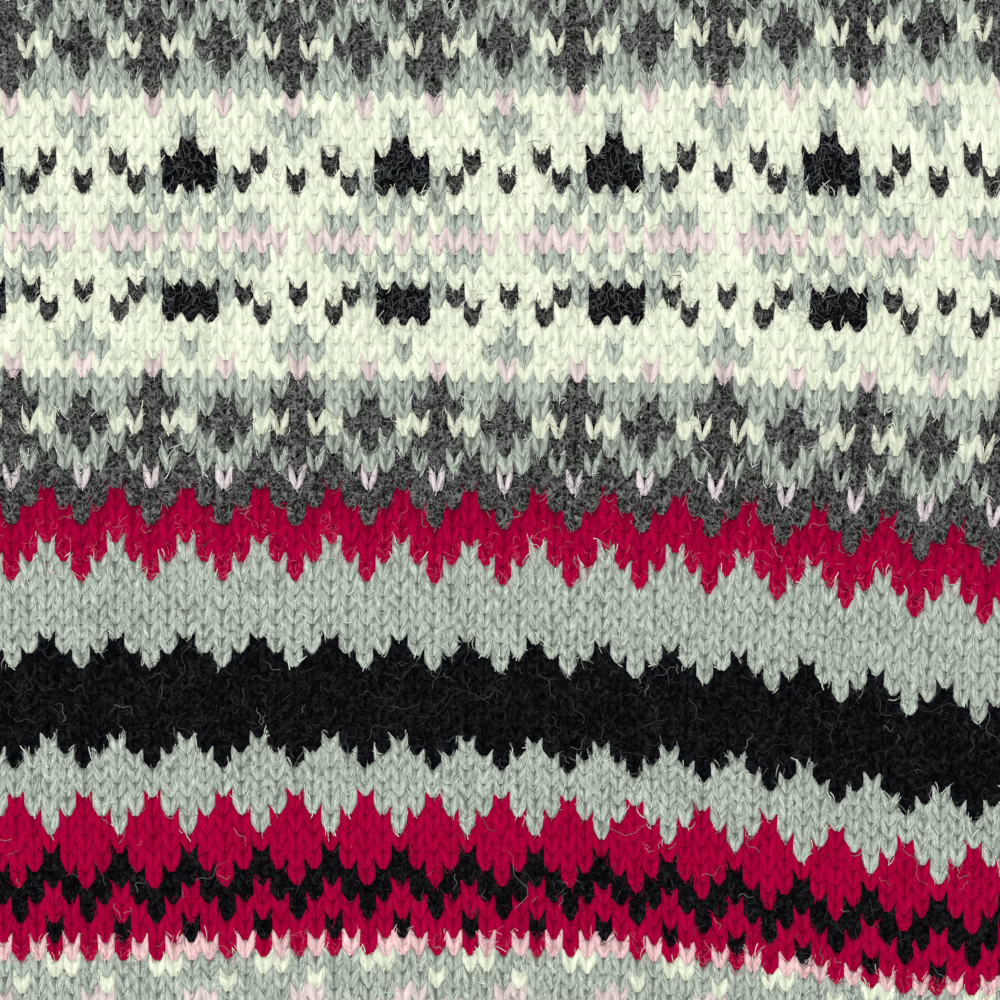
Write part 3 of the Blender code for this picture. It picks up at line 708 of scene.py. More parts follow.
def band_stops():
    """Stops of a ramp over the chart's rows: the mean colour of each row, where it differs from the last."""
    stops = []
    for number in range(PERIOD // 2 + 1):
        colours = yarn_table[yarn_at(np.arange(24), np.full(24, number)), :3]
        mean = colours.mean(axis=0)
        if not stops or np.abs(mean - stops[-1][1]).max() > 0.06:
            stops.append((number / RAMP_ROWS, mean))
    return stops[:MOST_STOPS]


def ground_finish(name):
    """Bands of the chart by the row attribute, folded about its middle row, darkened by a noise of small loops
    to 0.2 to 0.7 of them as painted shade between the legs, with the same noise as a bump.
    """
    finish, shader, start = new_finish(name, 0.95)
    row = start.attribute("row", out=2)
    in_period = start.sums("FLOORED_MODULO", row + PERIOD / 2 + 0.5, float(PERIOD))
    folded = start.sums("ABSOLUTE", in_period - PERIOD / 2)
    ramp = {"interpolation": "CONSTANT", "stops": band_stops()}
    bands = start.make("ShaderNodeValToRGB", ramp, {0: folded * (1 / RAMP_ROWS)})
    loops = start.noise(start.position(), 700.0, 3.0)
    # painted shade: the bands are darkened to between 0.2 and 0.7 of the row's colour, for the shade between
    # the legs
    colour = start.scaled(bands, loops * 0.5 + 0.2)
    bump = start.bump(0.8, 0.0006, loops)
    feed(shader, colour, bump)
    return finish


ground = ground_finish("wool_ground")
print("bands in the ground:", len(band_stops()))

# %% Wall helpers
def grid_faces(rows, columns, closed=False):
    """Fours of a net of points; closed joins its last column to its first."""
    steps = columns if closed else columns - 1
    row, column = np.meshgrid(np.arange(rows - 1), np.arange(steps), indexing="ij")
    beside = (column + 1) % columns
    here, after = row * columns, (row + 1) * columns
    return np.stack([here + column, here + beside, after + beside, after + column], axis=-1).reshape(-1, 4)


def wall_panel(name, plan, upper, lower, finish, row=None, cut=None):
    """Closed thin wall: the net of plan points at an upper and a lower height, less the cells in cut, with a
    rim wherever a kept cell has no neighbour."""
    rows, columns = upper.shape
    count = rows * columns
    points = np.concatenate([np.dstack([plan, height]).reshape(-1, 3) for height in (upper, lower)])
    kept = np.zeros((rows + 1, columns + 1), bool)
    kept[1:-1, 1:-1] = True if cut is None else ~cut
    inner = kept[1:-1, 1:-1]
    top = grid_faces(rows, columns)
    beside = (kept[:-2, 1:-1], kept[1:-1, 2:], kept[2:, 1:-1], kept[1:-1, :-2])
    rims = []
    for corner, neighbour in enumerate(beside):
        open_side = top[(inner & ~neighbour).ravel()]
        start, end = open_side[:, corner], open_side[:, (corner + 1) % 4]
        rims.append(np.stack([start, start + count, end + count, end], axis=1))
    top = top[inner.ravel()]
    faces = np.concatenate([top, top[:, ::-1] + count, *rims])
    a, b, c = (points[top[0, corner]] for corner in (0, 1, 2))
    if np.cross(b - a, c - a)[2] < 0:
        faces = faces[:, ::-1]
    values = {"row": np.tile(row.ravel(), 2)} if row is not None else None
    return add_mesh(name, points, [faces], finish, values=values, maps={"OFBake": flat_map(points)})


def edge_shares(width, count):
    """Even shares across a strip, with extra lines near its far edge, which rolls over."""
    near = 1 - np.array([1.0, 0.6, 0.3, 0.1, 0.0]) * WALL / width
    return np.concatenate([np.linspace(0, near[0], count), near[1:]])


def stand_in(cloth, node):
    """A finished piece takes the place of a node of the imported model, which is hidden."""
    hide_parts(node)
    return cloth


# %% Fronts and back
UNDER_GAP = 0.0003  # the cloth that lies on the floor starts this far up, above the underside's stitches
UNDER_ROLL = 0.8  # and its lower edge rolls up by this share of a front's roll
RIGHT_SWAY = 0.4  # the right front sags by this share of the left one's sag


def make_front(word, side):
    """Cloth of one front: a net between the front edge with its neck and the side seam with its armhole."""
    shares = np.linspace(0, 1, 110)
    outer = resample(side_line(), shares)
    straight = np.array([[FRONT_EDGE, HEM_RIB + SEAM], [FRONT_EDGE, BODY_LENGTH - FRONT_NECK]])
    inner = resample(np.concatenate([straight, neck_line()[1:]]), shares)
    across = edge_shares(CHEST_HALF, 30)
    plan = inner[:, None] + (outer - inner)[:, None] * across[None, :, None]
    lower, upper, _ = front_heights(side, plan[..., 0], plan[..., 1])
    row = front_row(plan[..., 0], plan[..., 1], 1.0 if side > 0 else RIGHT_SWAY)
    plan[..., 0] *= side
    cloth = wall_panel(f"front_{word}_cloth", plan, upper, lower, ground, row)
    return stand_in(cloth, f"front_{word}")


def make_back():
    """Cloth of the back: a net from side to side, whose upper lines bend into the shoulders and the neck."""
    neck = NECK_HALF / SHOULDER_HALF
    shoulder = neck + edge_shares(CHEST_HALF * (1 - neck), 14) * (1 - neck)
    half = np.concatenate([np.linspace(0, neck, 14), shoulder[1:]])
    across = np.concatenate([-half[:0:-1], half])
    heights = np.linspace(0, 1, 100)
    outer = resample(side_line(), heights)
    plan = np.zeros((len(heights), len(across), 2))
    plan[..., 0] = outer[:, None, 0] * across
    rise = shoulder_y(SHOULDER_HALF * across) - outer[-1, 1]
    plan[..., 1] = outer[:, None, 1] + heights[:, None] ** 4 * rise
    side_gap = np.where(plan[..., 1] < UNDERARM, side_x(plan[..., 1]) - np.abs(plan[..., 0]), 1.0)
    lower = UNDER_GAP + roll(np.maximum(side_gap, 0)) * UNDER_ROLL
    row = front_row(plan[..., 0], plan[..., 1], 0.0)
    cloth = wall_panel("back_cloth", plan, np.full(lower.shape, WALL - UNDER_GAP), lower, ground, row)
    return stand_in(cloth, "back")


front_left = make_front("left", 1)
front_right = make_front("right", -1)
back = make_back()
body_faces = sum(len(piece.data.polygons) for piece in (front_left, front_right, back))
print("cloth of the body:", body_faces, "faces")

# %% [markdown]
# ## The stitches
# A knit stitch shows as a V: two legs that come out of the loop below, lean apart and slip under the next
# loop. Each leg is a leaf-shaped half tube, about as wide as half a wale and one and a half rows long, so
# that the V of one row nests in the V below.

# %% Legs of the stitches
LEG_ROWS = 1.46  # length of a leg, in rows
FOOT_DROP = 0.02  # its lower end below the place of its row, in rows
V_MIDDLE = 0.68  # the middle of a V above the place of its row
LEG_HALF = 0.253  # half its width, in wales
FOOT = 0.074  # its lower end from the middle of the V, in wales
SPREAD = 0.350  # and how far it leans out
LEG_BEND = 0.062  # and how far its middle bows out
TILT = 0.55  # share of that lean by which its cross-sections turn
RISE = 0.00064
RIM = 0.10  # a leg's rim above the ground, as a share of its rise
FLUFF = 0.13  # a fully heathered yarn is thicker by this share
COARSE = 1.3  # a leg of few faces is a plain diamond, so it is made this much wider
VARIED = {"width": 0.10, "place": 0.025, "length": 0.04, "height": 0.08, "shade": 0.04}  # from leg to leg
LEAF = (0.05, 0.91)  # a leg's width is the root of half a sine, from this share of it on, over this share
CREST = (0.22, 0.76)  # and its height a power of one, from and over these shares
CROWN_DROP = 0.40  # a crown is drawn down into its block by so many rows
SWELL = 0.11  # the outer stitches of a black block spread by so many wales
BLUNT = 0.70  # length of a crimson leg whose tip the charcoal above hides
HEMMED_SLIM = 0.085  # a stitch looks narrower by this for each of up to two charcoal neighbours
HEMMED_DIM = 0.06  # and darker by this
PUSHED_SLIM = 0.10  # and narrower by this beside a black block's spread stitches
DETAIL_MARGIN = 0.004  # the finer stitches go on this far past the picture's edge
HAIR_MARGIN = 0.002  # and the hairs this far


def leg_shape(stations, lines):
    """Net of one leg: a point at each end and cross-sections between them, closer together toward the ends.
    Gives the share up the leg and the place across it, from -1 to 1, and the faces."""
    inner = (1 - np.cos(math.pi * np.arange(1, stations + 1) / (stations + 1))) / 2
    up = np.concatenate([[0.0], np.repeat(inner, len(lines)), [1.0]])
    across = np.concatenate([[0.0], np.tile(lines, stations), [0.0]])
    net = grid_faces(stations, len(lines)) + 1
    first = np.arange(1, len(lines))
    last = 1 + (stations - 1) * len(lines) + np.arange(len(lines) - 1)
    threes = [
        np.stack([np.zeros_like(first), first + 1, first], axis=1),
        np.stack([last, last + 1, np.full_like(last, len(up) - 1)], axis=1),
    ]
    return up, across, net, np.concatenate(threes)


def knit(name, wale, row, yarn, place, finish, stations=5, lines=(-1, -0.4, 0.4, 1), facing=1,
         slim=1.0, reach=1.0, dim=1.0):
    """Joined mesh of stitches at these wales and rows. place turns wale and row into x, y, ground and the
    share of full height there. The middle of a leg runs from the foot outward; its half width is the square
    root of a sine along it, and its cross-section a half ellipse. Its foot lies over the tips of the V below.
    slim, reach and dim make single stitches narrower, shorter and darker."""
    up, across, fours, threes = leg_shape(stations, np.array(lines, float))
    count = len(wale)
    hand = np.array([-1.0, 1.0])[None, :, None]
    jitter = random.normal(0, 1, (count, 2, 4))
    fluffy = 1 + FLUFF * yarn_table[yarn, 3, None, None]
    size = (1 + VARIED["width"] * jitter[..., 0, None]) * fluffy * (COARSE if stations == 1 else 1.0)
    size = size * np.broadcast_to(slim, count)[:, None, None]
    long = LEG_ROWS * np.broadcast_to(reach, count)[:, None, None]
    leaf = np.sin(math.pi * (LEAF[0] + LEAF[1] * up)) ** 0.5
    bend = LEG_BEND * np.sin(math.pi * up) * hand
    middle = hand * (FOOT + SPREAD * up**1.2) + bend + VARIED["place"] * jitter[..., 1, None]
    wide = LEG_HALF * leaf * size
    c = wale[:, None, None] + middle + across * wide
    r = row[:, None, None] + FOOT_DROP - long * up * (1 + VARIED["length"] * jitter[..., 2, None])
    r = r + across * wide * (SPREAD / LEG_ROWS * TILT * hand)
    x, y, base, full = place(c, r)
    crest = np.sqrt(np.clip(1 - across**2, 0, 1)) * np.sin(math.pi * (CREST[0] + CREST[1] * up)) ** 0.6
    swollen = fluffy * (1 + VARIED["height"] * jitter[..., 3, None])
    z = base + RISE * full * (RIM + (1 - RIM) * crest * swollen)
    points = np.stack([x, y, z], axis=-1).reshape(-1, 3)
    colour = yarn_table[yarn].copy()
    colour[:, :3] *= np.broadcast_to(dim, count)[:, None]
    colour = np.repeat(colour, 2, axis=0)
    colour[:, :3] *= 1 + VARIED["shade"] * random.normal(0, 1, (count * 2, 1))
    colours = np.repeat(colour, len(up), axis=0)
    # the crest also darkens the colour in the wool finish: painted shade down a leg's sides and toward its
    # ends
    deep = np.broadcast_to(crest, c.shape)
    number = np.arange(count * 2).reshape(count, 2, 1)
    own = np.stack(np.broadcast_arrays(across * 0.5 + number * 3.7, up + number * 1.3), axis=-1)
    return add_mesh(
        name, points, own_faces(count * 2, len(up), fours, threes), finish, colours=colours,
        values={"crest": deep}, maps={"leg": own, "OFBake": flat_map(points)}, facing=facing,
    )


BED = 0.00004  # height of the beds above the cloth
# painted shade: a crest value below zero makes the wool finish darken a bed's colour more than a leg's side
BED_SHADE_CREST = -0.8  # beds are shaded as if they lay below a leg's sides


def knit_beds(name, wale, row, yarn, place, finish):
    """Under each V a flat band of a low V, one row high, in its yarn's colour with painted shade: the inside
    of the loop.
    """
    corner_c = np.array([-0.5, 0.0, 0.5, -0.5, 0.0, 0.5])
    corner_r = np.array([-0.5, -0.15, -0.5, -1.5, -1.15, -1.5])
    x, y, base, full = place(wale[:, None] + corner_c, row[:, None] + corner_r)
    points = np.stack([x, y, base + BED * full], axis=-1).reshape(-1, 3)
    faces = own_faces(len(wale), 6, np.array([[0, 1, 4, 3], [1, 2, 5, 4]]))
    colours = np.repeat(yarn_table[yarn], 6, axis=0)
    # this crest gives the bed its painted shade in the wool finish
    crest = np.full(len(points), BED_SHADE_CREST)
    own = np.tile(np.stack([corner_c, corner_r], axis=1), (len(wale), 1))
    own = own + np.repeat(wale * 3.1 + row * 1.7, 6)[:, None]
    return add_mesh(
        name, points, faces, finish, colours=colours, values={"crest": crest},
        maps={"leg": own, "OFBake": flat_map(points)}, facing=1,
    )


def left_place(wale, row):
    """Place of the grid on the left front: x, y, ground and share of full height."""
    x, y = front_place(wale, row)
    _, base, full = front_heights(1, x, y)
    return x, y, base, full


def right_place(wale, row):
    """The same on the right front, whose x is mirrored."""
    x, y = front_place(wale, row, RIGHT_SWAY)
    _, base, full = front_heights(-1, x, y)
    return -x, y, base, full


def block_swell(wale, row):
    """How far a stitch of a black block lies outward, in wales: the block's wool spreads to both sides."""
    block = (yarn_at(wale, row) == BLACK) & (chart_row(row) < 6)
    return np.where(block, SWELL * (wale % 12 - 2), 0.0)


def front_grid(sway):
    """Every wale and row whose V lies on the front."""
    wale, row = grid(np.arange(-16, 60), np.arange(-126, 58))
    x, y = front_place(wale, row - V_MIDDLE, sway)
    keep = inside_depth(np.stack([x, y], axis=1), front_outline) > EDGE_MARGIN
    return wale[keep], row[keep]


def in_picture(x, y, margin):
    """Whether a place is in the picture, or past its edge by less than the margin."""
    away = np.maximum(np.abs(x - PICTURE_MIDDLE[0]), np.abs(y - PICTURE_MIDDLE[1]))
    return away < PICTURE / 2 + margin


def neighbours(wale, row, alike, steps=((1, 0), (-1, 0), (0, 1), (0, -1))):
    """For how many of a stitch's neighbours, so many wales and rows away, alike says yes to their yarn."""
    return sum(alike(yarn_at(wale + across, row + down)) * 1.0 for across, down in steps)


wale, row = front_grid(1.0)
x, y = front_place(wale, row - V_MIDDLE)
seen = in_picture(x, y, DETAIL_MARGIN)
upper_half = y > PICTURE_MIDDLE[1]
few = {"stations": 1, "lines": (-1, 0, 1)}
yarn = yarn_at(wale, row)
height = row + CROWN_DROP * is_crown(wale, row)
hemmed = neighbours(wale, row, lambda yarns: yarns == CHARCOAL)
swelling = sum(np.abs(block_swell(wale + across, row)) > 0 for across in (1, -1))
pushed = swelling * (block_swell(wale, row) == 0)
fuzzed = np.minimum(hemmed, 2) * (yarn != CHARCOAL)  # beside the fluffy charcoal less of a stitch is seen
slim = 1 - HEMMED_SLIM * fuzzed - PUSHED_SLIM * pushed * (yarn != BLACK)
dim = 1 - HEMMED_DIM * fuzzed
capped = (yarn == CRIMSON) & (yarn_at(wale, row - 1) == CHARCOAL)
reach = np.where(capped, BLUNT, 1.0)
spread = wale + block_swell(wale, row)
strand = (hemmed > 2) & (yarn != CRIMSON)  # the charcoal carried behind shows through
behind = np.where(strand, CHARCOAL, yarn)
front_left_stitches = []
regions = {"upper": (seen & upper_half, {}), "lower": (seen & ~upper_half, {}), "around": (~seen, few)}
for label, (part, detail) in regions.items():
    front_left_stitches.append(
        knit(f"front_left_stitches_{label}", spread[part], height[part], yarn[part], left_place, wool,
             slim=slim[part], reach=reach[part], dim=dim[part], **detail)
    )
front_left_stitches.append(
    knit_beds("front_left_loops", wale[seen], height[seen], behind[seen], left_place, wool)
)
wale, row = front_grid(RIGHT_SWAY)
height = row + CROWN_DROP * is_crown(wale, row)
spread = wale + block_swell(wale, row)
yarn = yarn_at(wale, row)
front_right_stitches = [knit("front_right_stitches", spread, height, yarn, right_place, wool, **few)]
for piece in front_left_stitches + front_right_stitches:
    print(piece.name, len(piece.data.polygons), "faces")

# %% [markdown]
# ## Sleeves
# A sleeve is a tube that lies flat, folded along its top and its underarm, and both layers join the body at
# the armhole. Its stitches run down the sleeve, and its bands meet the body's at the underarm.

# %% Sleeve formulas
ALONG = np.array([math.sin(SLEEVE_ANGLE), -math.cos(SLEEVE_ANGLE)])
ACROSS = np.array([math.cos(SLEEVE_ANGLE), math.sin(SLEEVE_ANGLE)])
SLEEVE_START = np.array([CHEST_HALF, UNDERARM]) + SLEEVE_HALF * ACROSS


def sleeve_half(along):
    """Half the sleeve's width: an even taper, drawn in to the cuff at its end."""
    taper = SLEEVE_HALF - (SLEEVE_HALF - WRIST_HALF) * np.clip(along, 0, None) / SLEEVE_LENGTH
    return taper - (WRIST_HALF - CUFF_HALF) * smooth((along - SLEEVE_LENGTH + GATHER) / GATHER)


def to_plan(along, across):
    """Plan point of a place on the sleeve: its start, plus each distance along its own direction."""
    along, across = np.asarray(along), np.asarray(across)
    return SLEEVE_START + along[..., None] * ALONG + across[..., None] * ACROSS


def sleeve_top_line():
    """Fold from the shoulder's tip: a cubic that leaves in the shoulder's direction and eases into the
    taper, then the taper itself."""
    tip = np.array([SHOULDER_HALF, BODY_LENGTH - SHOULDER_DROP]) - SLEEVE_START
    start, height = float(tip @ ALONG), float(tip @ ACROSS)
    slope = np.array([SHOULDER_HALF - NECK_HALF, -SHOULDER_DROP])
    leave = float(slope @ ACROSS) / float(slope @ ALONG)
    arrive = -(SLEEVE_HALF - WRIST_HALF) / SLEEVE_LENGTH
    share = np.linspace(0, 1, 30)
    first = (1 + 2 * share) * (1 - share) ** 2 * height + share * (1 - share) ** 2 * -start * leave
    last = share**2 * (3 - 2 * share) * SLEEVE_HALF + share**2 * (share - 1) * -start * arrive
    down = np.linspace(0, SLEEVE_LENGTH, 60)[1:]
    return np.concatenate([to_plan(start * (1 - share), first + last), to_plan(down, sleeve_half(down))])


def sleeve_under_line():
    """Fold below: the taper alone, from the underarm down."""
    down = np.linspace(0, SLEEVE_LENGTH, 60)
    return to_plan(down, -sleeve_half(down))


top_line = sleeve_top_line()
armhole = armhole_line()[::-1]
sleeve_outline = np.concatenate([top_line, sleeve_under_line()[::-1], armhole[::-1][1:-1] + SEAM])
top_along, top_across = (top_line - SLEEVE_START) @ ALONG, (top_line - SLEEVE_START) @ ACROSS


def half_round(distance):
    """1 on the flat of a tube, and within the wall's thickness of its fold the height of a half round."""
    share = 1 - np.clip(distance / WALL, 0, 1)
    return np.sqrt(1 - share * share)


def sleeve_row(along):
    """The row at a distance down the sleeve: the one at that distance below the underarm on the body."""
    return np.interp(SECOND_WALE[1] - UNDERARM + along, row_drop, all_rows)


# %% Tubes
RIB_GROUND = 0.0011  # the rib's cloth in a furrow, before its stitches


def ring_places(width, middle):
    """Distances from the fold round a flattened tube, upper side out and lower side back, for each section:
    close together where it turns over. middle is the shares across its flat."""
    near = np.array([0.0, 0.08, 0.3, 0.6]) * WALL
    width = width[:, None]
    flat = WALL + middle[None] * (width - 2 * WALL)
    out = np.concatenate([near + 0 * width, flat, width - near[:0:-1]], axis=1)
    at = np.concatenate([out, width, out[:, :0:-1]], axis=1)
    number = np.arange(at.shape[1])
    return at, (number > 0) & (number < out.shape[1]), (number == 0) | (number == out.shape[1])


def wall_tube(name, outer, inner, finish, row):
    """Closed wall between two nets of rings, with both ends joined from the outer to the inner ring."""
    sections, around, _ = outer.shape
    count = sections * around
    side = grid_faces(sections, around, closed=True)
    points = np.concatenate([outer.reshape(-1, 3), inner.reshape(-1, 3)])
    first = np.arange(around)
    beside = (first + 1) % around
    end = first + count - around
    end_beside = beside + count - around
    caps = [
        np.stack([beside, first, first + count, beside + count], axis=1),
        np.stack([end, end_beside, end_beside + count, end + count], axis=1),
    ]
    faces = np.concatenate([side, side[:, ::-1] + count, *caps])
    a, b, c, d = (points[side[:, corner]] for corner in range(4))
    middle = points[:count].mean(axis=0)
    if np.einsum("fi,fi->", a - middle, np.cross(c - a, d - b)) < 0:
        faces = faces[:, ::-1]
    values = {"row": np.tile(row.ravel(), 2)}
    return add_mesh(name, points, [faces], finish, values=values)


def flat_tube(name, side, top, under, middle, finish, bow=None, row=None, ridge=None):
    """Flattened tube between two folds. bow bends each ring in plan, and ridge gives what stands on the upper
    side, for each section and distance."""
    width = np.linalg.norm(under - top, axis=1)
    at, is_upper, is_tip = ring_places(width, middle)
    share = at / width[:, None]
    run = (under - top)[:, None]
    bend = bow(share) if bow else 0.0
    outer_xy = top[:, None] + run * share[..., None] + bend
    within = (WALL + at * (width[:, None] - 2 * WALL) / width[:, None]) / width[:, None]
    inner_xy = top[:, None] + run * within[..., None] + (bow(within) if bow else 0.0)
    near = np.minimum(at, width[:, None] - at)
    lift = relief(side * outer_xy[..., 0], outer_xy[..., 1]) * smooth(near / FADE)
    round_up = half_round(near)
    crown = FRONT_UNDER + WALL * CLOTH_SHARE if ridge is None else FRONT_UNDER + RIB_GROUND
    stand = 0.0 if ridge is None else ridge(at, width[:, None])
    upper_z = FOLD_HALF + (crown - FOLD_HALF) * round_up + lift + stand
    lower_z = FOLD_HALF - (FOLD_HALF - UNDER_GAP) * round_up
    outer_z = np.where(is_tip, FOLD_HALF, np.where(is_upper, upper_z, lower_z))
    inner_z = np.where(is_tip, FOLD_HALF, np.where(is_upper, FRONT_UNDER + lift, WALL))
    outer = np.dstack([outer_xy[..., 0] * side, outer_xy[..., 1], outer_z])
    inner = np.dstack([inner_xy[..., 0] * side, inner_xy[..., 1], inner_z])
    rows = np.zeros(at.shape) if row is None else row(outer_xy)
    return wall_tube(name, outer, inner, finish, rows)


# %% Sleeves with their stitches
def make_sleeve(word, side):
    """Cloth of one sleeve: rings from the armhole to the cuff, the first bent along the armhole."""
    shares = np.concatenate([np.linspace(0, 0.95, 56), [0.97, 0.985, 1.0]])
    tops, unders = resample(top_line, shares), resample(sleeve_under_line(), shares)
    pull = ((1 - shares) ** 6)[:, None, None]

    def bow(share):
        chord = armhole[0] + (armhole[-1] - armhole[0]) * share[..., None]
        seam = SEAM * np.stack([2 - share, 1.4 * share], axis=-1)
        return (resample(armhole, share) - chord + seam) * pull

    def row(plan):
        return sleeve_row((plan - SLEEVE_START) @ ALONG)

    cloth = flat_tube(f"sleeve_{word}_cloth", side, tops, unders, np.linspace(0, 1, 24), ground, bow, row)
    return stand_in(cloth, f"sleeve_{word}")


SLEEVE_WALE = 0.00330
UNDERSIDE = 0.00012  # height of the knitting on the underside, just clear of the floor


def sleeve_places(side, facing):
    """The place function of one side of a sleeve: +1 its upper layer, -1 its lower one."""
    def place(wale, row):
        along = np.interp(row, all_rows, row_drop) - SECOND_WALE[1] + UNDERARM
        across = (wale - 2) * SLEEVE_WALE
        plan = to_plan(along, across)
        under = np.where(along > 0, across + sleeve_half(along), 1.0)
        near = np.maximum(np.minimum(np.interp(along, top_along, top_across) - across, under), 0)
        round_up = half_round(near)
        if facing < 0:
            return side * plan[..., 0], plan[..., 1], FOLD_HALF * (1 - round_up) + UNDERSIDE, round_up
        lift = relief(side * plan[..., 0], plan[..., 1]) * smooth(near / FADE)
        base = FOLD_HALF + (FRONT_UNDER + WALL * CLOTH_SHARE - FOLD_HALF) * round_up + lift
        return side * plan[..., 0], plan[..., 1], base, round_up
    return place


wale, row = grid(np.arange(-40, 44), np.arange(-126, 79))
x, y, _, _ = sleeve_places(1, 1)(wale, row - V_MIDDLE)
keep = inside_depth(np.stack([x, y], axis=1), sleeve_outline) > EDGE_MARGIN
sleeve_wale, sleeve_rows = wale[keep], row[keep]
sleeves, sleeve_stitches = [], []
for word, side in SIDES:
    sleeves.append(make_sleeve(word, side))
    yarn = yarn_at(sleeve_wale, sleeve_rows)
    place = sleeve_places(side, 1)
    stitches = knit(f"sleeve_{word}_stitches", sleeve_wale, sleeve_rows, yarn, place, wool, **few)
    sleeve_stitches.append(stitches)
    print(stitches.name, len(stitches.data.polygons), "faces")

# %% [markdown]
# ## The underside
# What lies on the floor is knitted too. It is one flat face for each stitch, in the chart's colours, and the
# two legs of its V are drawn by the material, as painted shade between them and a bump.

# %% Underside finish and faces
def underside_finish():
    """A V in each cell: the share up the leg is the height less the distance from the middle, folded. The
    yarn's colour falls to 0.35 of it where that height is low, as painted shade between the legs, and the
    height is also the bump.
    """
    finish, shader, start = new_finish("wool_underside", 0.95)
    yarn = start.attribute("yarn")
    cell = start.make("ShaderNodeUVMap", {"uv_map": "cell"})
    u = start.make("ShaderNodeSeparateXYZ", None, {0: cell})
    v = start.make("ShaderNodeSeparateXYZ", None, {0: cell}, out=1)
    aside = start.sums("ABSOLUTE", u - 0.5) * 2.0
    slant = start.sums("FRACT", v - aside * 0.6 + 4.0)
    leg = start.sums("SINE", start.sums("FRACT", u * 2.0 + 4.0) * math.pi)
    loop = start.sums("SINE", slant * math.pi)
    height = leg * 0.7 + loop * 0.3
    # painted shade: the colour is darker where the V's height is low, between the legs
    feed(shader, start.scaled(yarn, height * 0.6 + 0.35), start.bump(0.7, 0.0008, height))
    return finish


underside = underside_finish()


def knit_faces(name, wale, row, place):
    """One four-cornered face for each stitch, with its own cell of the UV map, all looking down."""
    corner_c = np.array([-0.5, 0.5, 0.5, -0.5])
    corner_r = np.array([0.5, 0.5, -0.5, -0.5])
    x, y, z, _ = place(wale[:, None] + corner_c, row[:, None] - V_MIDDLE + corner_r)
    points = np.stack([x, y, z], axis=-1).reshape(-1, 3)
    faces = np.arange(len(points)).reshape(-1, 4)
    colours = np.repeat(yarn_table[yarn_at(wale, row)], 4, axis=0)
    cell = np.tile(np.stack([corner_c + 0.5, 0.5 - corner_r], axis=1), (len(wale), 1))
    maps = {"cell": cell, "OFBake": flat_map(points)}
    return add_mesh(name, points, [faces], underside, colours=colours, maps=maps, facing=-1)


def back_place(wale, row):
    """Place of the grid under the back, whose wale 2 runs up its middle."""
    x, y = front_place(wale, row, 0.0)
    return x - SECOND_WALE[0], y, np.full(x.shape, UNDERSIDE), 1.0


wale, row = grid(np.arange(-76, 80), np.arange(-126, 58))
x, y, _, _ = back_place(wale, row - V_MIDDLE)
depth = inside_depth(np.stack([x, y], axis=1), back_outline)
keep = depth > 4 * EDGE_MARGIN
undersides = [knit_faces("back_stitches", wale[keep], row[keep], back_place)]
for word, side in SIDES:
    place = sleeve_places(side, -1)
    undersides.append(knit_faces(f"sleeve_{word}_under_stitches", sleeve_wale, sleeve_rows, place))
for piece in undersides:
    print(piece.name, len(piece.data.polygons), "faces")

# %% [markdown]
# ## The wrong side in the neck
# Inside the neck the back shows its wrong side, where each loop is a short arc that lies across the wale, one
# up and the next down.

# %% Purl arcs
PURL_RISE = 0.0005
PURL_HALF = 0.26  # half its width, in rows
PURL_BOW = 0.22  # height of an arc, in rows


def purl(name, wale, row, yarn, place, finish):
    """Two arcs for each stitch: along half a sine, up over its own wale and down to the next one."""
    up, across, fours, threes = leg_shape(1, np.array([-1.0, 0.0, 1.0]))
    hand = np.array([1.0, -1.0])[None, :, None]
    wide = PURL_HALF * np.sin(math.pi * (0.03 + 0.94 * up)) ** 0.5
    c = wale[:, None, None] + (1 - hand) / 4 + (up - 0.5) * 0.8
    r = row[:, None, None] - hand * (PURL_BOW * np.sin(math.pi * up) - 0.05) + across * wide
    x, y, base, _ = place(c, r)
    # this crest also darkens the colour in the wool finish: painted shade toward an arc's sides and ends
    crest = np.sqrt(np.clip(1 - across**2, 0, 1)) * np.sin(math.pi * (0.06 + 0.9 * up)) ** 0.55
    points = np.stack([x, y, base + PURL_RISE * crest], axis=-1).reshape(-1, 3)
    faces = own_faces(len(wale) * 2, len(up), *(group for group in (fours, threes) if len(group)))
    own = np.stack(np.broadcast_arrays(across * 0.5 + c * 3.7, up + r * 1.3), axis=-1)
    return add_mesh(
        name, points, faces, finish, colours=np.repeat(yarn_table[yarn], 2 * len(up), axis=0),
        values={"crest": np.broadcast_to(crest, c.shape)},
        maps={"leg": own, "OFBake": flat_map(points)}, facing=1,
    )


def neck_place(wale, row):
    """Place of the grid on the back's upper face, a little sunk in so that the arcs grow out of it."""
    x, y = front_place(wale, row, 0.0)
    return x - SECOND_WALE[0], y, np.full(x.shape, WALL - 0.00035), 1.0


wale, row = grid(np.arange(-26, 30), np.arange(-126, -88))
x, y, _, _ = neck_place(wale, row)
in_neck = (np.abs(x) < NECK_HALF + 0.003) & (y > BODY_LENGTH - FRONT_NECK - 0.002)
keep = in_neck & (inside_depth(np.stack([x, y], axis=1), back_outline) > 3 * EDGE_MARGIN)
wrong_side = purl("back_wrong_side", wale[keep], row[keep], yarn_at(wale, row)[keep], neck_place, wool)
print("wrong side:", len(wrong_side.data.polygons), "faces")

# %% [markdown]
# ## Ribs
# Hem, cuffs, neck and front bands are two by two rib: two wales of knit stand up, and two of purl sink
# between them. The ridge is a rounded step, and the stitches are the same legs as before, a little smaller.

# %% Rib formulas and finish
RIB_ROW = 0.0029
RIB_WALES = 4  # stitches in one pitch of the rib
KNIT_WALES = np.array([1.42, 2.58])  # the middles of the two knit wales, in stitches from the furrow
RIB_FULL = 0.6  # stitches of a rib stand this share as high as those of a panel
RIB_NET = 6  # columns of points in one pitch
RIB_START = 0.0006  # the first row of a rib begins this far past its edge
LONG_RIB = 20  # rows of a hem's or a cuff's rib


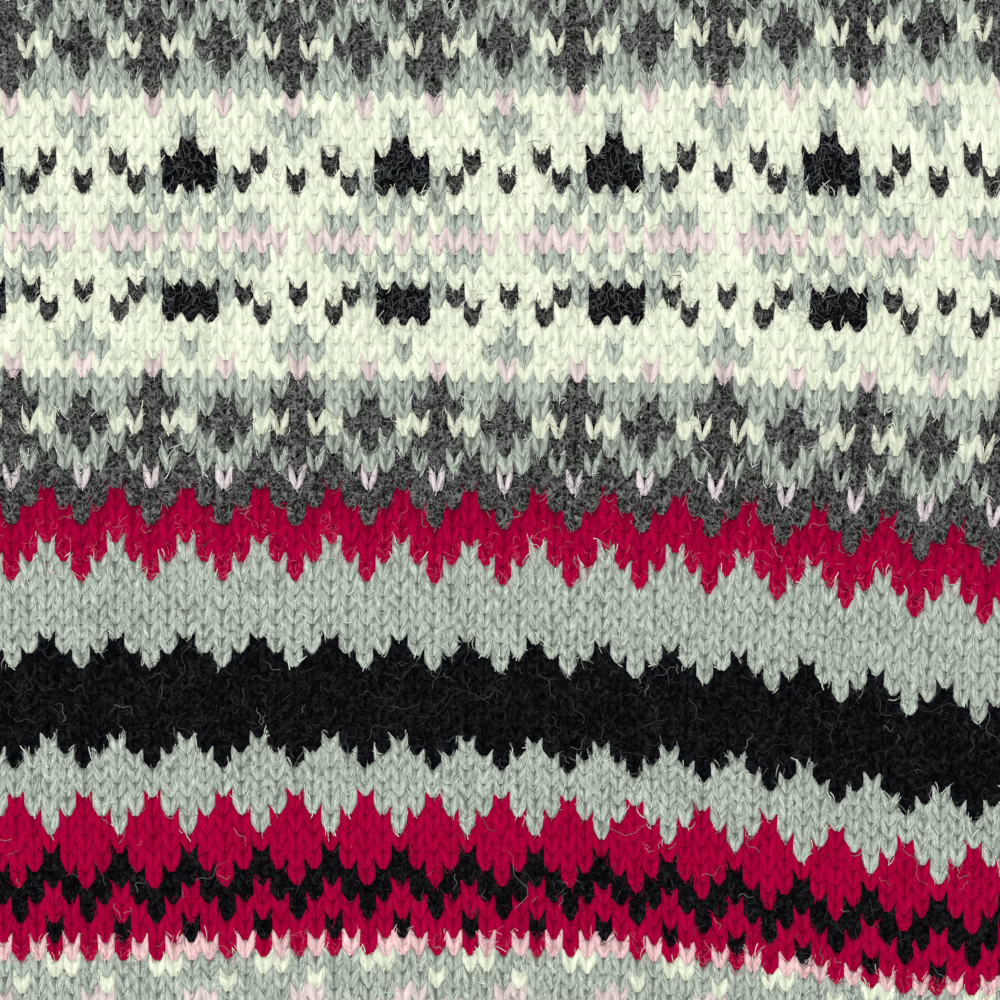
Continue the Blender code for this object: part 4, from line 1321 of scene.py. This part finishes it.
def ridge_share(place):
    """Height of the rib at a share of its pitch: 1 less the distance from the middle to the power 2.6."""
    return 1 - np.abs(2 * (place % 1.0) - 1) ** 2.6


def rib_finish():
    """Charcoal heather: the yarn's colour times a fine noise plus a tenth, and the same noise as the bump."""
    finish, shader, start = new_finish("rib_ground", 0.95)
    place = start.position()
    heather = start.noise(place, 1400.0, 3.0)
    feed(shader, start.scaled(YARNS["charcoal"][:3], heather + 0.1), start.bump(0.7, 0.0005, heather))
    return finish


rib_ground = rib_finish()
rib_wool = wool_finish("rib_stitches")


def rib_stitches(name, ribs, rows, place, facing=1, wales=None):
    """Two wales of stitches on each ridge, over this many rows, in the rib's own measure."""
    if wales is None:
        wales = (np.arange(ribs)[:, None] * RIB_WALES + KNIT_WALES).ravel()
    wale, row = grid(wales, np.arange(1, rows + 1))
    made = knit(name, wale, row, np.full(len(wale), CHARCOAL), place, rib_wool, facing=facing, **few)
    return made


def rib_count(length):
    """Whole ribs that come nearest to filling a length."""
    return max(1, round(length / RIB_PITCH))


# %% Hem ribs
HEM_WIDTH = HEM_HALF - FRONT_EDGE
HEM_RIBS = rib_count(HEM_WIDTH)
HEM_PITCH = HEM_WIDTH / HEM_RIBS
rib_pieces, rib_cloths = [], []
HEM_STEPS = [0.0, 0.0006, 0.0014, 0.0026]  # heights at which the hem's edge is rounded
HEM_ROUND = [0.45, 0.75, 0.92, 1.0]  # and its share of full height there


def hem_ground(place, height, near):
    """Height of the hem rib's cloth: a thin wall and its ridges, softer at both ends of the rib."""
    crest = np.interp(height, [0, 0.002, HEM_RIB / 2, HEM_RIB], [0.35, 1.0, 1.0, 0.8])
    edge = 1 - roll(near) / WALL
    return FRONT_UNDER + RIB_GROUND * edge + RIB_HEIGHT * crest * ridge_share(place / HEM_PITCH)


def make_hem_front(word, side):
    """Hem rib of one front, with a rounded lower edge, and its stitches, from the panel down."""
    places = np.linspace(0, HEM_WIDTH, HEM_RIBS * RIB_NET + 1)
    heights = np.concatenate([HEM_STEPS[:-1], np.linspace(HEM_STEPS[-1], HEM_RIB, 12)])
    plan = np.zeros((len(heights), len(places), 2))
    plan[..., 0] = side * (FRONT_EDGE + places)
    plan[..., 1] = heights[:, None]
    upper = hem_ground(places[None], heights[:, None], (HEM_WIDTH - places)[None])
    round_edge = np.interp(heights, HEM_STEPS, HEM_ROUND)[:, None]
    upper = FRONT_UNDER + (upper - FRONT_UNDER) * round_edge
    lower = np.full(upper.shape, FRONT_UNDER)
    cloth = wall_panel(f"hem_rib_front_{word}_cloth", plan, upper, lower, rib_ground)
    rib_cloths.append(stand_in(cloth, f"hem_rib_front_{word}"))

    def place(wale, row):
        at = wale / RIB_WALES * HEM_PITCH
        height = HEM_RIB + RIB_START - row * RIB_ROW
        return side * (FRONT_EDGE + at), height, hem_ground(at, height, HEM_WIDTH - at), RIB_FULL

    rib_pieces.append(rib_stitches(f"hem_rib_front_{word}_stitches", HEM_RIBS, LONG_RIB, place))


for word, side in SIDES:
    make_hem_front(word, side)

BACK_HEM_RIBS = 36
places = np.linspace(-HEM_HALF, HEM_HALF, BACK_HEM_RIBS * 8 + 1)
heights = np.linspace(0, HEM_RIB, 8)
plan = np.zeros((len(heights), len(places), 2))
plan[..., 0] = places
plan[..., 1] = heights[:, None]
furrow = UNDER_GAP * (1 - ridge_share(places / (2 * HEM_HALF / BACK_HEM_RIBS)))[None] + 0 * heights[:, None]
lower = furrow + UNDER_ROLL * roll(HEM_HALF - np.abs(plan[..., 0]))
hem_back = wall_panel("hem_rib_back_cloth", plan, np.full(lower.shape, WALL), lower, rib_ground)
rib_cloths.append(stand_in(hem_back, "hem_rib_back"))

# %% Cuffs
CUFF_RIBS = rib_count(2 * CUFF_HALF - 2 * WALL)
CUFF_PITCH = (2 * CUFF_HALF - 2 * WALL) / CUFF_RIBS


CUFF_ROUND = 0.002  # the ridges sink within this distance of the cuff's end


def cuff_crest(down):
    """Share of full ridge at a distance down the cuff: less at the seam, least at the end."""
    places = [SEAM, CUFF_LENGTH / 2, CUFF_LENGTH - CUFF_ROUND, CUFF_LENGTH]
    return np.interp(down, places, [0.7, 1.0, 1.0, 0.4])


def make_cuff(word, side):
    """One cuff, a flattened tube with ridges on its upper side, and its stitches, from the sleeve down."""
    flat_end = CUFF_LENGTH - CUFF_ROUND
    along = np.concatenate([np.linspace(SEAM, flat_end, 10), [CUFF_LENGTH - CUFF_ROUND / 2, CUFF_LENGTH]])
    crest = cuff_crest(along)
    top = to_plan(SLEEVE_LENGTH + along, np.full(len(along), CUFF_HALF))
    under = to_plan(SLEEVE_LENGTH + along, np.full(len(along), -CUFF_HALF))

    def ridge(at, width):
        flat = (at > WALL) & (at < width - WALL)
        return np.where(flat, RIB_HEIGHT * crest[:, None] * ridge_share((at - WALL) / CUFF_PITCH), 0.0)

    middle = np.linspace(0, 1, CUFF_RIBS * RIB_NET + 1)
    cloth = flat_tube(f"cuff_{word}_cloth", side, top, under, middle, rib_ground, ridge=ridge)
    rib_cloths.append(stand_in(cloth, f"cuff_{word}"))

    def place(wale, row):
        at = wale / RIB_WALES * CUFF_PITCH
        down = row * RIB_ROW - RIB_START
        plan = to_plan(SLEEVE_LENGTH + down, CUFF_HALF - WALL - at)
        near = np.minimum(at + WALL, 2 * CUFF_HALF - WALL - at)
        lift = relief(side * plan[..., 0], plan[..., 1]) * smooth(near / FADE)
        base = FRONT_UNDER + RIB_GROUND + RIB_HEIGHT * cuff_crest(down) * ridge_share(at / CUFF_PITCH) + lift
        return side * plan[..., 0], plan[..., 1], base, RIB_FULL

    rib_pieces.append(rib_stitches(f"cuff_{word}_stitches", CUFF_RIBS, LONG_RIB, place))


for word, side in SIDES:
    make_cuff(word, side)

# %% Neckbands
NECK_SEAM = 1.6 * SEAM  # gap along the neck's curve, where a straight seam has one SEAM


def leaning(seam, lean, share):
    """Point at a share of the neckband's depth above a seam line, where the band leans in by an angle: the
    seam's point plus the depth times the sine and cosine of the lean."""
    depth = NECK_SEAM + share * (NECKBAND - NECK_SEAM)
    return seam[..., 0] - np.sin(lean) * depth, seam[..., 1] + np.cos(lean) * depth


NECK = neck_line()
NECK_RUN = run_along(NECK)[-1]
NECK_RIBS = rib_count(NECK_RUN)
NECK_ROWS = 8
NECK_FIRST = 1.02  # the first row lies past the inner edge, which is 1 in depth
NECK_TURN = math.radians(66)  # the lean of the band where the neck's curve is steepest


def make_neckband_front(word, side):
    """Neckband of one front: a strip that follows the neck's curve, and its stitches, from the inside out."""
    def at(run, depth):
        lean = NECK_TURN * run - (NECK_TURN - NECKBAND_LEAN) * run**4
        return leaning(resample(NECK, run), lean, depth)

    def height(run, depth):
        crest = np.interp(depth, [0, 0.5, 1], [0.8, 1.0, 0.5])
        return FRONT_UNDER + RIB_GROUND + RIB_HEIGHT * crest * ridge_share(run * NECK_RIBS)

    depth = np.concatenate([np.linspace(0, 0.9, 9), [0.95, 0.98, 1.0]])
    run, depth = np.broadcast_arrays(np.linspace(0, 1, NECK_RIBS * RIB_NET + 1), depth[:, None])
    x, y = at(run, depth)
    round_edge = np.interp(depth, [0.9, 0.95, 0.98, 1], [1, 0.9, 0.7, 0.4])
    upper = FRONT_UNDER + (height(run, depth) - FRONT_UNDER) * round_edge
    plan = np.dstack([side * x, y])
    lower = np.full(upper.shape, FRONT_UNDER)
    cloth = wall_panel(f"neckband_front_{word}_cloth", plan, upper, lower, rib_ground)
    rib_cloths.append(stand_in(cloth, f"neckband_front_{word}"))

    def place(wale, row):
        share = wale / RIB_WALES / NECK_RIBS
        deep = NECK_FIRST - row / NECK_ROWS
        x, y = at(share, deep)
        return side * x, y, height(share, deep), RIB_FULL

    rib_pieces.append(rib_stitches(f"neckband_front_{word}_stitches", NECK_RIBS, NECK_ROWS, place))


for word, side in SIDES:
    make_neckband_front(word, side)

BACK_RIBS = rib_count(2 * NECK_HALF)


def back_neckband_at(share, depth):
    """Plan point on the back's neckband: it leans outward at both ends, by the square of the distance."""
    across = 2 * share - 1
    x = NECK_HALF * across
    seam = np.stack([x, back_neck_y(x)], axis=-1)
    return leaning(seam, NECKBAND_LEAN * across * np.abs(across), depth)


def back_neckband_height(share):
    """Top of its cloth: a thin strip that lies on the floor, with low ridges."""
    return 0.0009 + 0.0005 * ridge_share(share * BACK_RIBS)


def back_neckband_place(wale, row):
    """Place of the rib's grid on it."""
    share = wale / RIB_WALES / BACK_RIBS
    x, y = back_neckband_at(share, NECK_FIRST - row / NECK_ROWS)
    return x, y, back_neckband_height(share), RIB_FULL


share, depth = np.broadcast_arrays(np.linspace(0, 1, BACK_RIBS * RIB_NET + 1), np.linspace(0, 1, 10)[:, None])
x, y = back_neckband_at(share, depth)
upper = back_neckband_height(share)
cloth = wall_panel("neckband_back_cloth", np.dstack([x, y]), upper, np.zeros(upper.shape), rib_ground)
rib_cloths.append(stand_in(cloth, "neckband_back"))
rib_pieces.append(rib_stitches("neckband_back_stitches", BACK_RIBS, NECK_ROWS, back_neckband_place))

# %% [markdown]
# ## Front bands
# The bands run up both fronts. The upper one steps over the lower one, and has a slit for each button in its
# middle furrow.

# %% Bands
FURROW = (BAND - BAND_RIDGES * BAND_RIDGE) / (BAND_RIDGES - 1)
button_heights = np.linspace(FIRST_BUTTON, BODY_LENGTH - FRONT_NECK + NECKBAND / 2, BUTTONS)


def band_share(place):
    """Height across a band: a rounded ridge, then a furrow that sinks to its middle, four ridges in all."""
    from_ridge = place % (BAND_RIDGE + FURROW)
    top = 0.75 + 0.25 * np.sin(math.pi * np.clip(from_ridge / BAND_RIDGE, 0, 1))
    into = np.abs((from_ridge - BAND_RIDGE) / FURROW - 0.5) * 2
    return np.where(from_ridge <= BAND_RIDGE, top, 0.75 * into**1.5)


def band_wales():
    """The two knit wales of each ridge, as distances across the band."""
    start = np.arange(BAND_RIDGES) * (BAND_RIDGE + FURROW)
    return (start[:, None] + BAND_RIDGE * np.array([0.27, 0.73])).ravel()


def make_band(name, start, side, under, base, slits):
    """One band: a net across its ridges and up its length, less the cells of the slits where it has any.
    under and base give its underside and its ground at a distance from its outer edge."""
    middle = BAND / 2
    places = np.unique(np.concatenate([np.linspace(0, BAND, 41), [middle - SLIT_HALF, middle + SLIT_HALF]]))
    ends = np.concatenate([button_heights - SLIT / 2, button_heights + SLIT / 2])
    heights = np.unique(np.concatenate([np.linspace(0, BAND_TOP, 40), np.clip(ends, 0, BAND_TOP)]))
    plan = np.zeros((len(heights), len(places), 2))
    plan[..., 0] = start + side * places
    plan[..., 1] = heights[:, None]
    upper = base(places)[None] + RIB_GROUND + RIB_HEIGHT * band_share(places)[None] + 0 * heights[:, None]
    lower = under(places)[None] + 0 * heights[:, None]
    centre_x = (places[:-1] + places[1:]) / 2
    centre_y = (heights[:-1] + heights[1:]) / 2
    in_slit = np.abs(centre_y[:, None] - button_heights).min(axis=1) < SLIT / 2
    cut = in_slit[:, None] & (np.abs(centre_x - middle) < SLIT_HALF)[None] & slits
    cloth = wall_panel(f"{name}_cloth", plan, upper, lower, rib_ground, cut=cut)
    rib_cloths.append(stand_in(cloth, name))

    def place(wale, row):
        at = wale * BAND_WALE
        ground_z = base(at) + RIB_GROUND + RIB_HEIGHT * band_share(at)
        return start + side * at, BAND_TOP + RIB_START - row * RIB_ROW, ground_z, RIB_FULL

    rows = int(BAND_TOP / RIB_ROW)
    rib_pieces.append(rib_stitches(f"{name}_stitches", 0, rows, place, wales=band_wales() / BAND_WALE))


BAND_WALE = BAND_RIDGE * 0.5
STEP_DROP = 0.0012  # at the step's edge the upper band's ground is still this far below its level
STEP = 2 * BAND_SHIFT - 3 * SEAM  # width of the stretch of the upper band that lies at the front's level


def front_level(place):
    """The underside of the fronts, at any place across the lower band."""
    return FRONT_UNDER + 0 * place


def step_under(place):
    """The upper band's underside, with a sharp step."""
    return np.where(place < STEP, FRONT_UNDER, UPPER_UNDER)


def step_base(place):
    """Its ground, which climbs over the step in two slopes."""
    return np.interp(place, [0, STEP, 2 * STEP], [FRONT_UNDER, UPPER_UNDER - STEP_DROP, UPPER_UNDER])


make_band("button_band", FRONT_EDGE - SEAM, -1, front_level, front_level, False)
make_band("buttonhole_band", SEAM - FRONT_EDGE, 1, step_under, step_base, True)
print("rib stitches:", sum(len(piece.data.polygons) for piece in rib_pieces), "faces")

# %% [markdown]
# ## Loose hairs
# Woollen yarn is hairy. Its loose hairs blur the edge between two colours and lie as pale curls on the black
# bands. Each is a narrow ribbon that tapers to a point, bent by a turning direction, and there are most of
# them where the picture looks.

# %% Hair finish and ribbons
def hair_finish():
    """Each hair has one even colour, its own."""
    finish, shader, start = new_finish("loose_wool", 0.9)
    yarn = start.attribute("yarn")
    feed(shader, yarn)
    return finish


loose_wool = hair_finish()
HAIR_SHADES = {  # for each yarn: share of light hairs, then the light and the dark hair's colour
    "cream": (0.70, (0.65, 0.69, 0.56), (0.49, 0.53, 0.43)),
    "grey": (0.55, (0.62, 0.68, 0.60), (0.17, 0.20, 0.175)),
    "charcoal": (0.46, (0.18, 0.19, 0.176), (0.010, 0.010, 0.010)),
    "soot": (0.45, (0.20, 0.21, 0.196), (0.006, 0.006, 0.006)),
    "black": (0.18, (0.036, 0.038, 0.043), (0.002, 0.002, 0.003)),
    "crimson": (0.50, (0.38, 0.002, 0.045), (0.22, 0.000, 0.020)),
    "pink": (0.70, (0.74, 0.62, 0.60), (0.48, 0.39, 0.37)),
    "pale": (0.70, (0.76, 0.70, 0.70), (0.38, 0.35, 0.35)),
    "blush": (0.70, (0.76, 0.54, 0.55), (0.48, 0.18, 0.22)),
}


def ribbons(name, start, ground_z, heading, turning, length, width, lift, shade, steps, wave=0.0):
    """Joined ribbons. A hair's heading changes evenly along it by turning, and to and fro by a wave, its
    points are the running sum of its steps, its height is half a sine above the wool, and it ends in a
    point."""
    count = len(start)
    share = np.linspace(0, 1, steps + 1)
    angle = heading[:, None] + turning[:, None] * (share[None] - 0.5)
    angle = angle + wave * np.sin(2 * math.pi * 1.7 * share[None] + start[:, :1] * 9000)
    step = (length / steps)[:, None]
    dx, dy = np.cos(angle) * step, np.sin(angle) * step
    x = start[:, 0, None] + np.cumsum(dx, axis=1) - dx
    y = start[:, 1, None] + np.cumsum(dy, axis=1) - dy
    z = ground_z[:, None] + lift[:, None] * np.sin(math.pi * (0.15 + 0.75 * share))
    half = width[:, None] / 2 * (1 - share[None] ** 2.5)
    left = np.stack([x - np.sin(angle) * half, y + np.cos(angle) * half, z], axis=-1)[:, :-1]
    right = np.stack([x + np.sin(angle) * half, y - np.cos(angle) * half, z], axis=-1)[:, :-1]
    tip = np.stack([x[:, -1], y[:, -1], z[:, -1]], axis=-1)[:, None]
    points = np.concatenate([np.stack([right, left], axis=2).reshape(count, -1, 3), tip], axis=1)
    per = points.shape[1]
    ring = np.arange(steps - 1)[:, None] * 2 + np.array([[0, 2, 3, 1]])
    last = np.array([[per - 3, per - 1, per - 2]])
    colours = np.ones((count, per, 4))
    colours[..., :3] = shade[:, None]
    return add_mesh(
        name, points, own_faces(count, per, ring, last), loose_wool, colours=colours.reshape(-1, 4),
        maps={"OFBake": flat_map(points)}, facing=1,
    )


def hair_shade(yarn):
    """Colour of each hair: the yarn's light or dark one, by its share, a little varied."""
    table = [HAIR_SHADES[name] for name in YARN_NAMES]
    light_share = np.array([row[0] for row in table])[yarn]
    light = np.array([row[1] for row in table])[yarn]
    dark = np.array([row[2] for row in table])[yarn]
    pick = random.random(len(yarn)) < light_share
    return np.where(pick[:, None], light, dark) * random.uniform(0.6, 1.15, (len(yarn), 1))


# %% Fuzz over the picture
wale, row = front_grid(1.0)
x, y = front_place(wale, row - V_MIDDLE)
near_picture = in_picture(x, y, HAIR_MARGIN)
wale, row = wale[near_picture], row[near_picture]
yarn = yarn_at(wale, row)
HAIRINESS = {  # how many hairs a stitch of each yarn has, against the others
    "cream": 7.0, "grey": 9.0, "charcoal": 14.0, "soot": 14.0, "black": 6.0, "crimson": 5.0, "pink": 6.0,
    "pale": 7.0, "blush": 7.0,
}
weight = np.array([HAIRINESS[name] for name in YARN_NAMES])[yarn]
EDGE_HAIRS = 0.30  # a stitch has this share more of them for each neighbour of another yarn
BLOCK_HAIRS = 3.8  # and the rim of a black block has so many times as many
CRIMSON_HAIRS = 3.0  # and so has crimson above grey
WILD_SHARE = 0.65  # of the hairs there and on dark yarns point anywhere, the others along the leg
HAIR_LENGTH = {"dark": 0.0017, "light": 0.0016}
HAIR_WIDTH = (0.00008, 0.00014)
HAIR_LIFT = (0.00003, 0.00022)
other_yarn = ((1, 0), (-1, 0), (0, 1), (0, -1), (0, 2))  # where a colour edge is looked for
beside = neighbours(wale, row, lambda yarns: yarns != yarn, other_yarn)
weight = weight * (1 + EDGE_HAIRS * beside)
beside_black = (yarn == BLACK) & (beside > 0) & (chart_row(row) < 6)
weight[beside_black] *= BLOCK_HAIRS
crimson_edge = (yarn == CRIMSON) & (yarn_at(wale, row + 1) == GREY)
weight[crimson_edge] *= CRIMSON_HAIRS
HAIRS = 44000
pick = random.choice(len(wale), HAIRS, p=weight / weight.sum())
hand = random.choice([-1.0, 1.0], HAIRS)
up = random.uniform(0.0, 1.0, HAIRS)
c = (wale + block_swell(wale, row))[pick] + hand * (FOOT + SPREAD * up) + random.normal(0, 0.10, HAIRS)
r = row[pick] + FOOT_DROP - LEG_ROWS * up
x, y, base, full = left_place(c, r)
dark = np.isin(yarn[pick], [CHARCOAL, SOOT, BLACK])
LEG_LEAN = 0.33  # a leg's lean from upright, in radians, which most hairs follow
along = math.pi / 2 - hand * LEG_LEAN + random.normal(0, 0.38, HAIRS)
wild = dark | crimson_edge[pick]
heading = np.where(wild & (random.random(HAIRS) < WILD_SHARE), random.uniform(0, 2 * math.pi, HAIRS), along)
heading += math.pi * (random.random(HAIRS) < 0.5)
length = np.where(dark, HAIR_LENGTH["dark"], HAIR_LENGTH["light"]) * np.exp(random.normal(0, 0.40, HAIRS))
length[beside_black[pick]] *= 1.35
turning = random.normal(0, 1.0, HAIRS) * np.where(wild, 2.4, 0.7)
width = random.uniform(*HAIR_WIDTH, HAIRS)
lift = random.uniform(*HAIR_LIFT, HAIRS)
start_points = np.stack([x, y], axis=1)
start_points -= np.stack([np.cos(heading), np.sin(heading)], axis=1) * (length / 2)[:, None]
shades = hair_shade(np.where(beside_black, SOOT, yarn)[pick])
shades[beside_black[pick]] *= (0.66, 0.70, 0.76)
width[beside_black[pick]] *= 0.62
BRIGHT_CURL = np.array([0.60, 0.085, 0.15])  # crimson hairs that catch the light at the yarn's edge
curly = crimson_edge[pick] & (random.random(HAIRS) < 0.38)
shades[curly] = BRIGHT_CURL * random.uniform(0.7, 1.1, (int(curly.sum()), 1))
width[crimson_edge[pick]] *= 0.7
top = base + RISE * 0.9
fuzz = []
for label, part in (("upper", y > PICTURE_MIDDLE[1]), ("lower", y <= PICTURE_MIDDLE[1])):
    fuzz.append(ribbons(
        f"front_left_fuzz_{label}", start_points[part], top[part], heading[part], turning[part], length[part],
        width[part], lift[part], shades[part], 3,
    ))

# %% Stray hairs
STRAYS = 520
BLACK_BAND = -0.036  # height of the black band's middle from the picture's
place_x = PICTURE_MIDDLE[0] + random.uniform(-0.5, 0.5, STRAYS) * PICTURE
place_y = PICTURE_MIDDLE[1] + random.uniform(-0.5, 0.5, STRAYS) * PICTURE
on_black = random.random(STRAYS) < 0.5
in_band = PICTURE_MIDDLE[1] + BLACK_BAND + random.normal(0, 0.0085, STRAYS)
place_y = np.where(on_black, in_band, place_y)
_, base, _ = front_heights(1, place_x, place_y)
grey = np.where(on_black, random.uniform(0.02, 0.075, STRAYS), random.uniform(0.08, 0.24, STRAYS))
heading = random.uniform(0, 2 * math.pi, STRAYS)
turning = random.normal(0, 1.4, STRAYS)
length = 0.0040 * np.exp(random.normal(0, 0.6, STRAYS))
width = random.uniform(0.00006, 0.00010, STRAYS)
lift = random.uniform(0.0001, 0.0004, STRAYS)
fuzz.append(ribbons(
    "front_left_stray_hairs", np.stack([place_x, place_y], axis=1), base + RISE + 0.0002, heading, turning,
    length, width, lift, np.stack([grey, grey, grey * 0.97], axis=1), 9, wave=0.7,
))
for piece in fuzz:
    print(piece.name, len(piece.data.polygons), "faces")

# %% [markdown]
# ## Buttons
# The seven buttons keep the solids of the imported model, which has their rims, dishes and holes. They get a
# polished horn finish, and the thread that holds them, two crossed bars of three strands.

# %% Button finish and thread
def horn_finish():
    """Dark brown with paler cloudy streaks, from a noise that is stretched along Y."""
    finish, shader, start = new_finish("dark_horn", 0.32)
    shader.inputs["Specular IOR Level"].default_value = 0.5
    place = start.position()
    cloud = start.noise(start.stretched(place, (420.0, 90.0, 300.0)), 1.0, 4.0, 1.2)
    stops = [(0.30, (0.008, 0.006, 0.006)), (0.52, (0.030, 0.020, 0.015)), (0.70, (0.11, 0.07, 0.045))]
    tint = start.make("ShaderNodeValToRGB", {"stops": stops}, {0: cloud})
    feed(shader, tint)
    return finish


horn = horn_finish()
HOLE_OFF = 0.0019
middles, tops = [], []
for number in range(1, BUTTONS + 1):
    node = frame["nodes"][f"button_{number}"]
    for slot in node.material_slots:
        slot.material = horn
    low, high = (np.array(corner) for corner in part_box(f"button_{number}"))
    middles.append((low + high)[:2] / 2 - ORIGIN[:2])
    tops.append(high[2])


THREAD_SINK = 0.0022  # the thread goes down into the holes by this
THREAD_ARCH = 0.0019  # and stands up from there by this in the middle
THREAD_OVER = 0.0002  # one bar crosses over the other by this
STRAND_PITCH = 0.00042
STRAND_HALF = 0.00024


def thread_bars(middles, tops):
    """Six tubes for each button: three strands along each diagonal. A strand's middle runs from hole to hole
    along half a sine, and its section is a ring of six points."""
    run, around = np.linspace(-1, 1, 9), np.arange(6) * math.pi / 3
    points, faces = [], []
    for middle, top in zip(middles, tops):
        for diagonal in (1, -1):
            for strand in (-1, 0, 1):
                out = np.array([1.0, diagonal]) / math.sqrt(2)
                aside = np.array([-out[1], out[0]])
                reach = HOLE_OFF * math.sqrt(2) * run
                arch = THREAD_ARCH * np.cos(run * math.pi / 2) ** 0.6
                height = top - THREAD_SINK + arch + THREAD_OVER * (diagonal > 0)
                line = middle + out * reach[:, None] + aside * strand * STRAND_PITCH
                xy = line[:, None] + aside * np.cos(around)[None, :, None] * STRAND_HALF
                z = height[:, None] + np.sin(around)[None] * STRAND_HALF
                net = np.dstack([xy, z])
                first = sum(len(part) for part in points)
                points.append(net.reshape(-1, 3))
                faces.append(grid_faces(len(run), len(around), closed=True)[:, ::-1] + first)
    return np.concatenate(points), np.concatenate(faces)


def thread_finish():
    """Dark grey, with the ridges of its twist from a slanted wave."""
    finish, shader, start = new_finish("thread", 0.7)
    shader.inputs["Base Color"].default_value = (0.05, 0.05, 0.05, 1)
    place = start.position()
    settings = {"bands_direction": "DIAGONAL"}
    twist = start.make("ShaderNodeTexWave", settings, {"Vector": place, "Scale": 900.0})
    feed(shader, bump=start.bump(0.6, 0.0001, twist))
    return finish


points, faces = thread_bars(middles, tops)
threads = add_mesh("button_threads", points, [faces], thread_finish())
print("thread strands:", BUTTONS * 6)

# %% [markdown]
# ## The sheets
# A knitted panel is shaped on the needles, so its flat size is that of the knitted piece. Here the sheets are
# only counted.


for number, sleeve in enumerate(sleeves):
    undersides[1 + number]
print("sheets:", 5 + len(rib_cloths))

# %% Camera, light and floor
camera_data = bpy.data.cameras.new("camera")
camera = bpy.data.objects.new("camera", camera_data)
bpy.context.scene.collection.objects.link(camera)
bpy.context.scene.camera = camera
DISTANCE = 0.60
SENSOR = 36.0
camera_data.sensor_width = SENSOR
camera_data.lens = SENSOR * DISTANCE / PICTURE
camera.location = (
    PICTURE_MIDDLE[0] + ORIGIN[0], PICTURE_MIDDLE[1] + ORIGIN[1], FRONT_TOP + DISTANCE,
)
camera_data.clip_start = 0.05

world = bpy.data.worlds.new("studio")
bpy.context.scene.world = world
world.use_nodes = True
world.node_tree.nodes["Background"].inputs["Color"].default_value = (1, 1, 1, 1)
world.node_tree.nodes["Background"].inputs["Strength"].default_value = 1.05
bpy.context.scene.view_settings.view_transform = "Standard"

lamp_data = bpy.data.lights.new("window", "AREA")
lamp_data.size = 1.2
lamp_data.energy = 24.0
lamp = bpy.data.objects.new("window", lamp_data)
lamp.location = (-0.7, 0.9, 1.6)
lamp.rotation_euler = (math.radians(-28), math.radians(-22), 0)
bpy.context.scene.collection.objects.link(lamp)

FLOOR_HALF = 6
FLOOR_Z = -0.0006
floor_mesh = bpy.data.meshes.new("floor")
floor_corners = [(x * FLOOR_HALF, y * FLOOR_HALF, FLOOR_Z) for x, y in ((-1, -1), (1, -1), (1, 1), (-1, 1))]
floor_mesh.from_pydata(floor_corners, [], [(0, 1, 2, 3)])
floor = bpy.data.objects.new("floor", floor_mesh)
bpy.context.scene.collection.objects.link(floor)
floor_finish, floor_shader, _ = new_finish("pale_floor", 0.9)
floor_shader.inputs["Base Color"].default_value = (0.72, 0.71, 0.69, 1)
floor_mesh.materials.append(floor_finish)
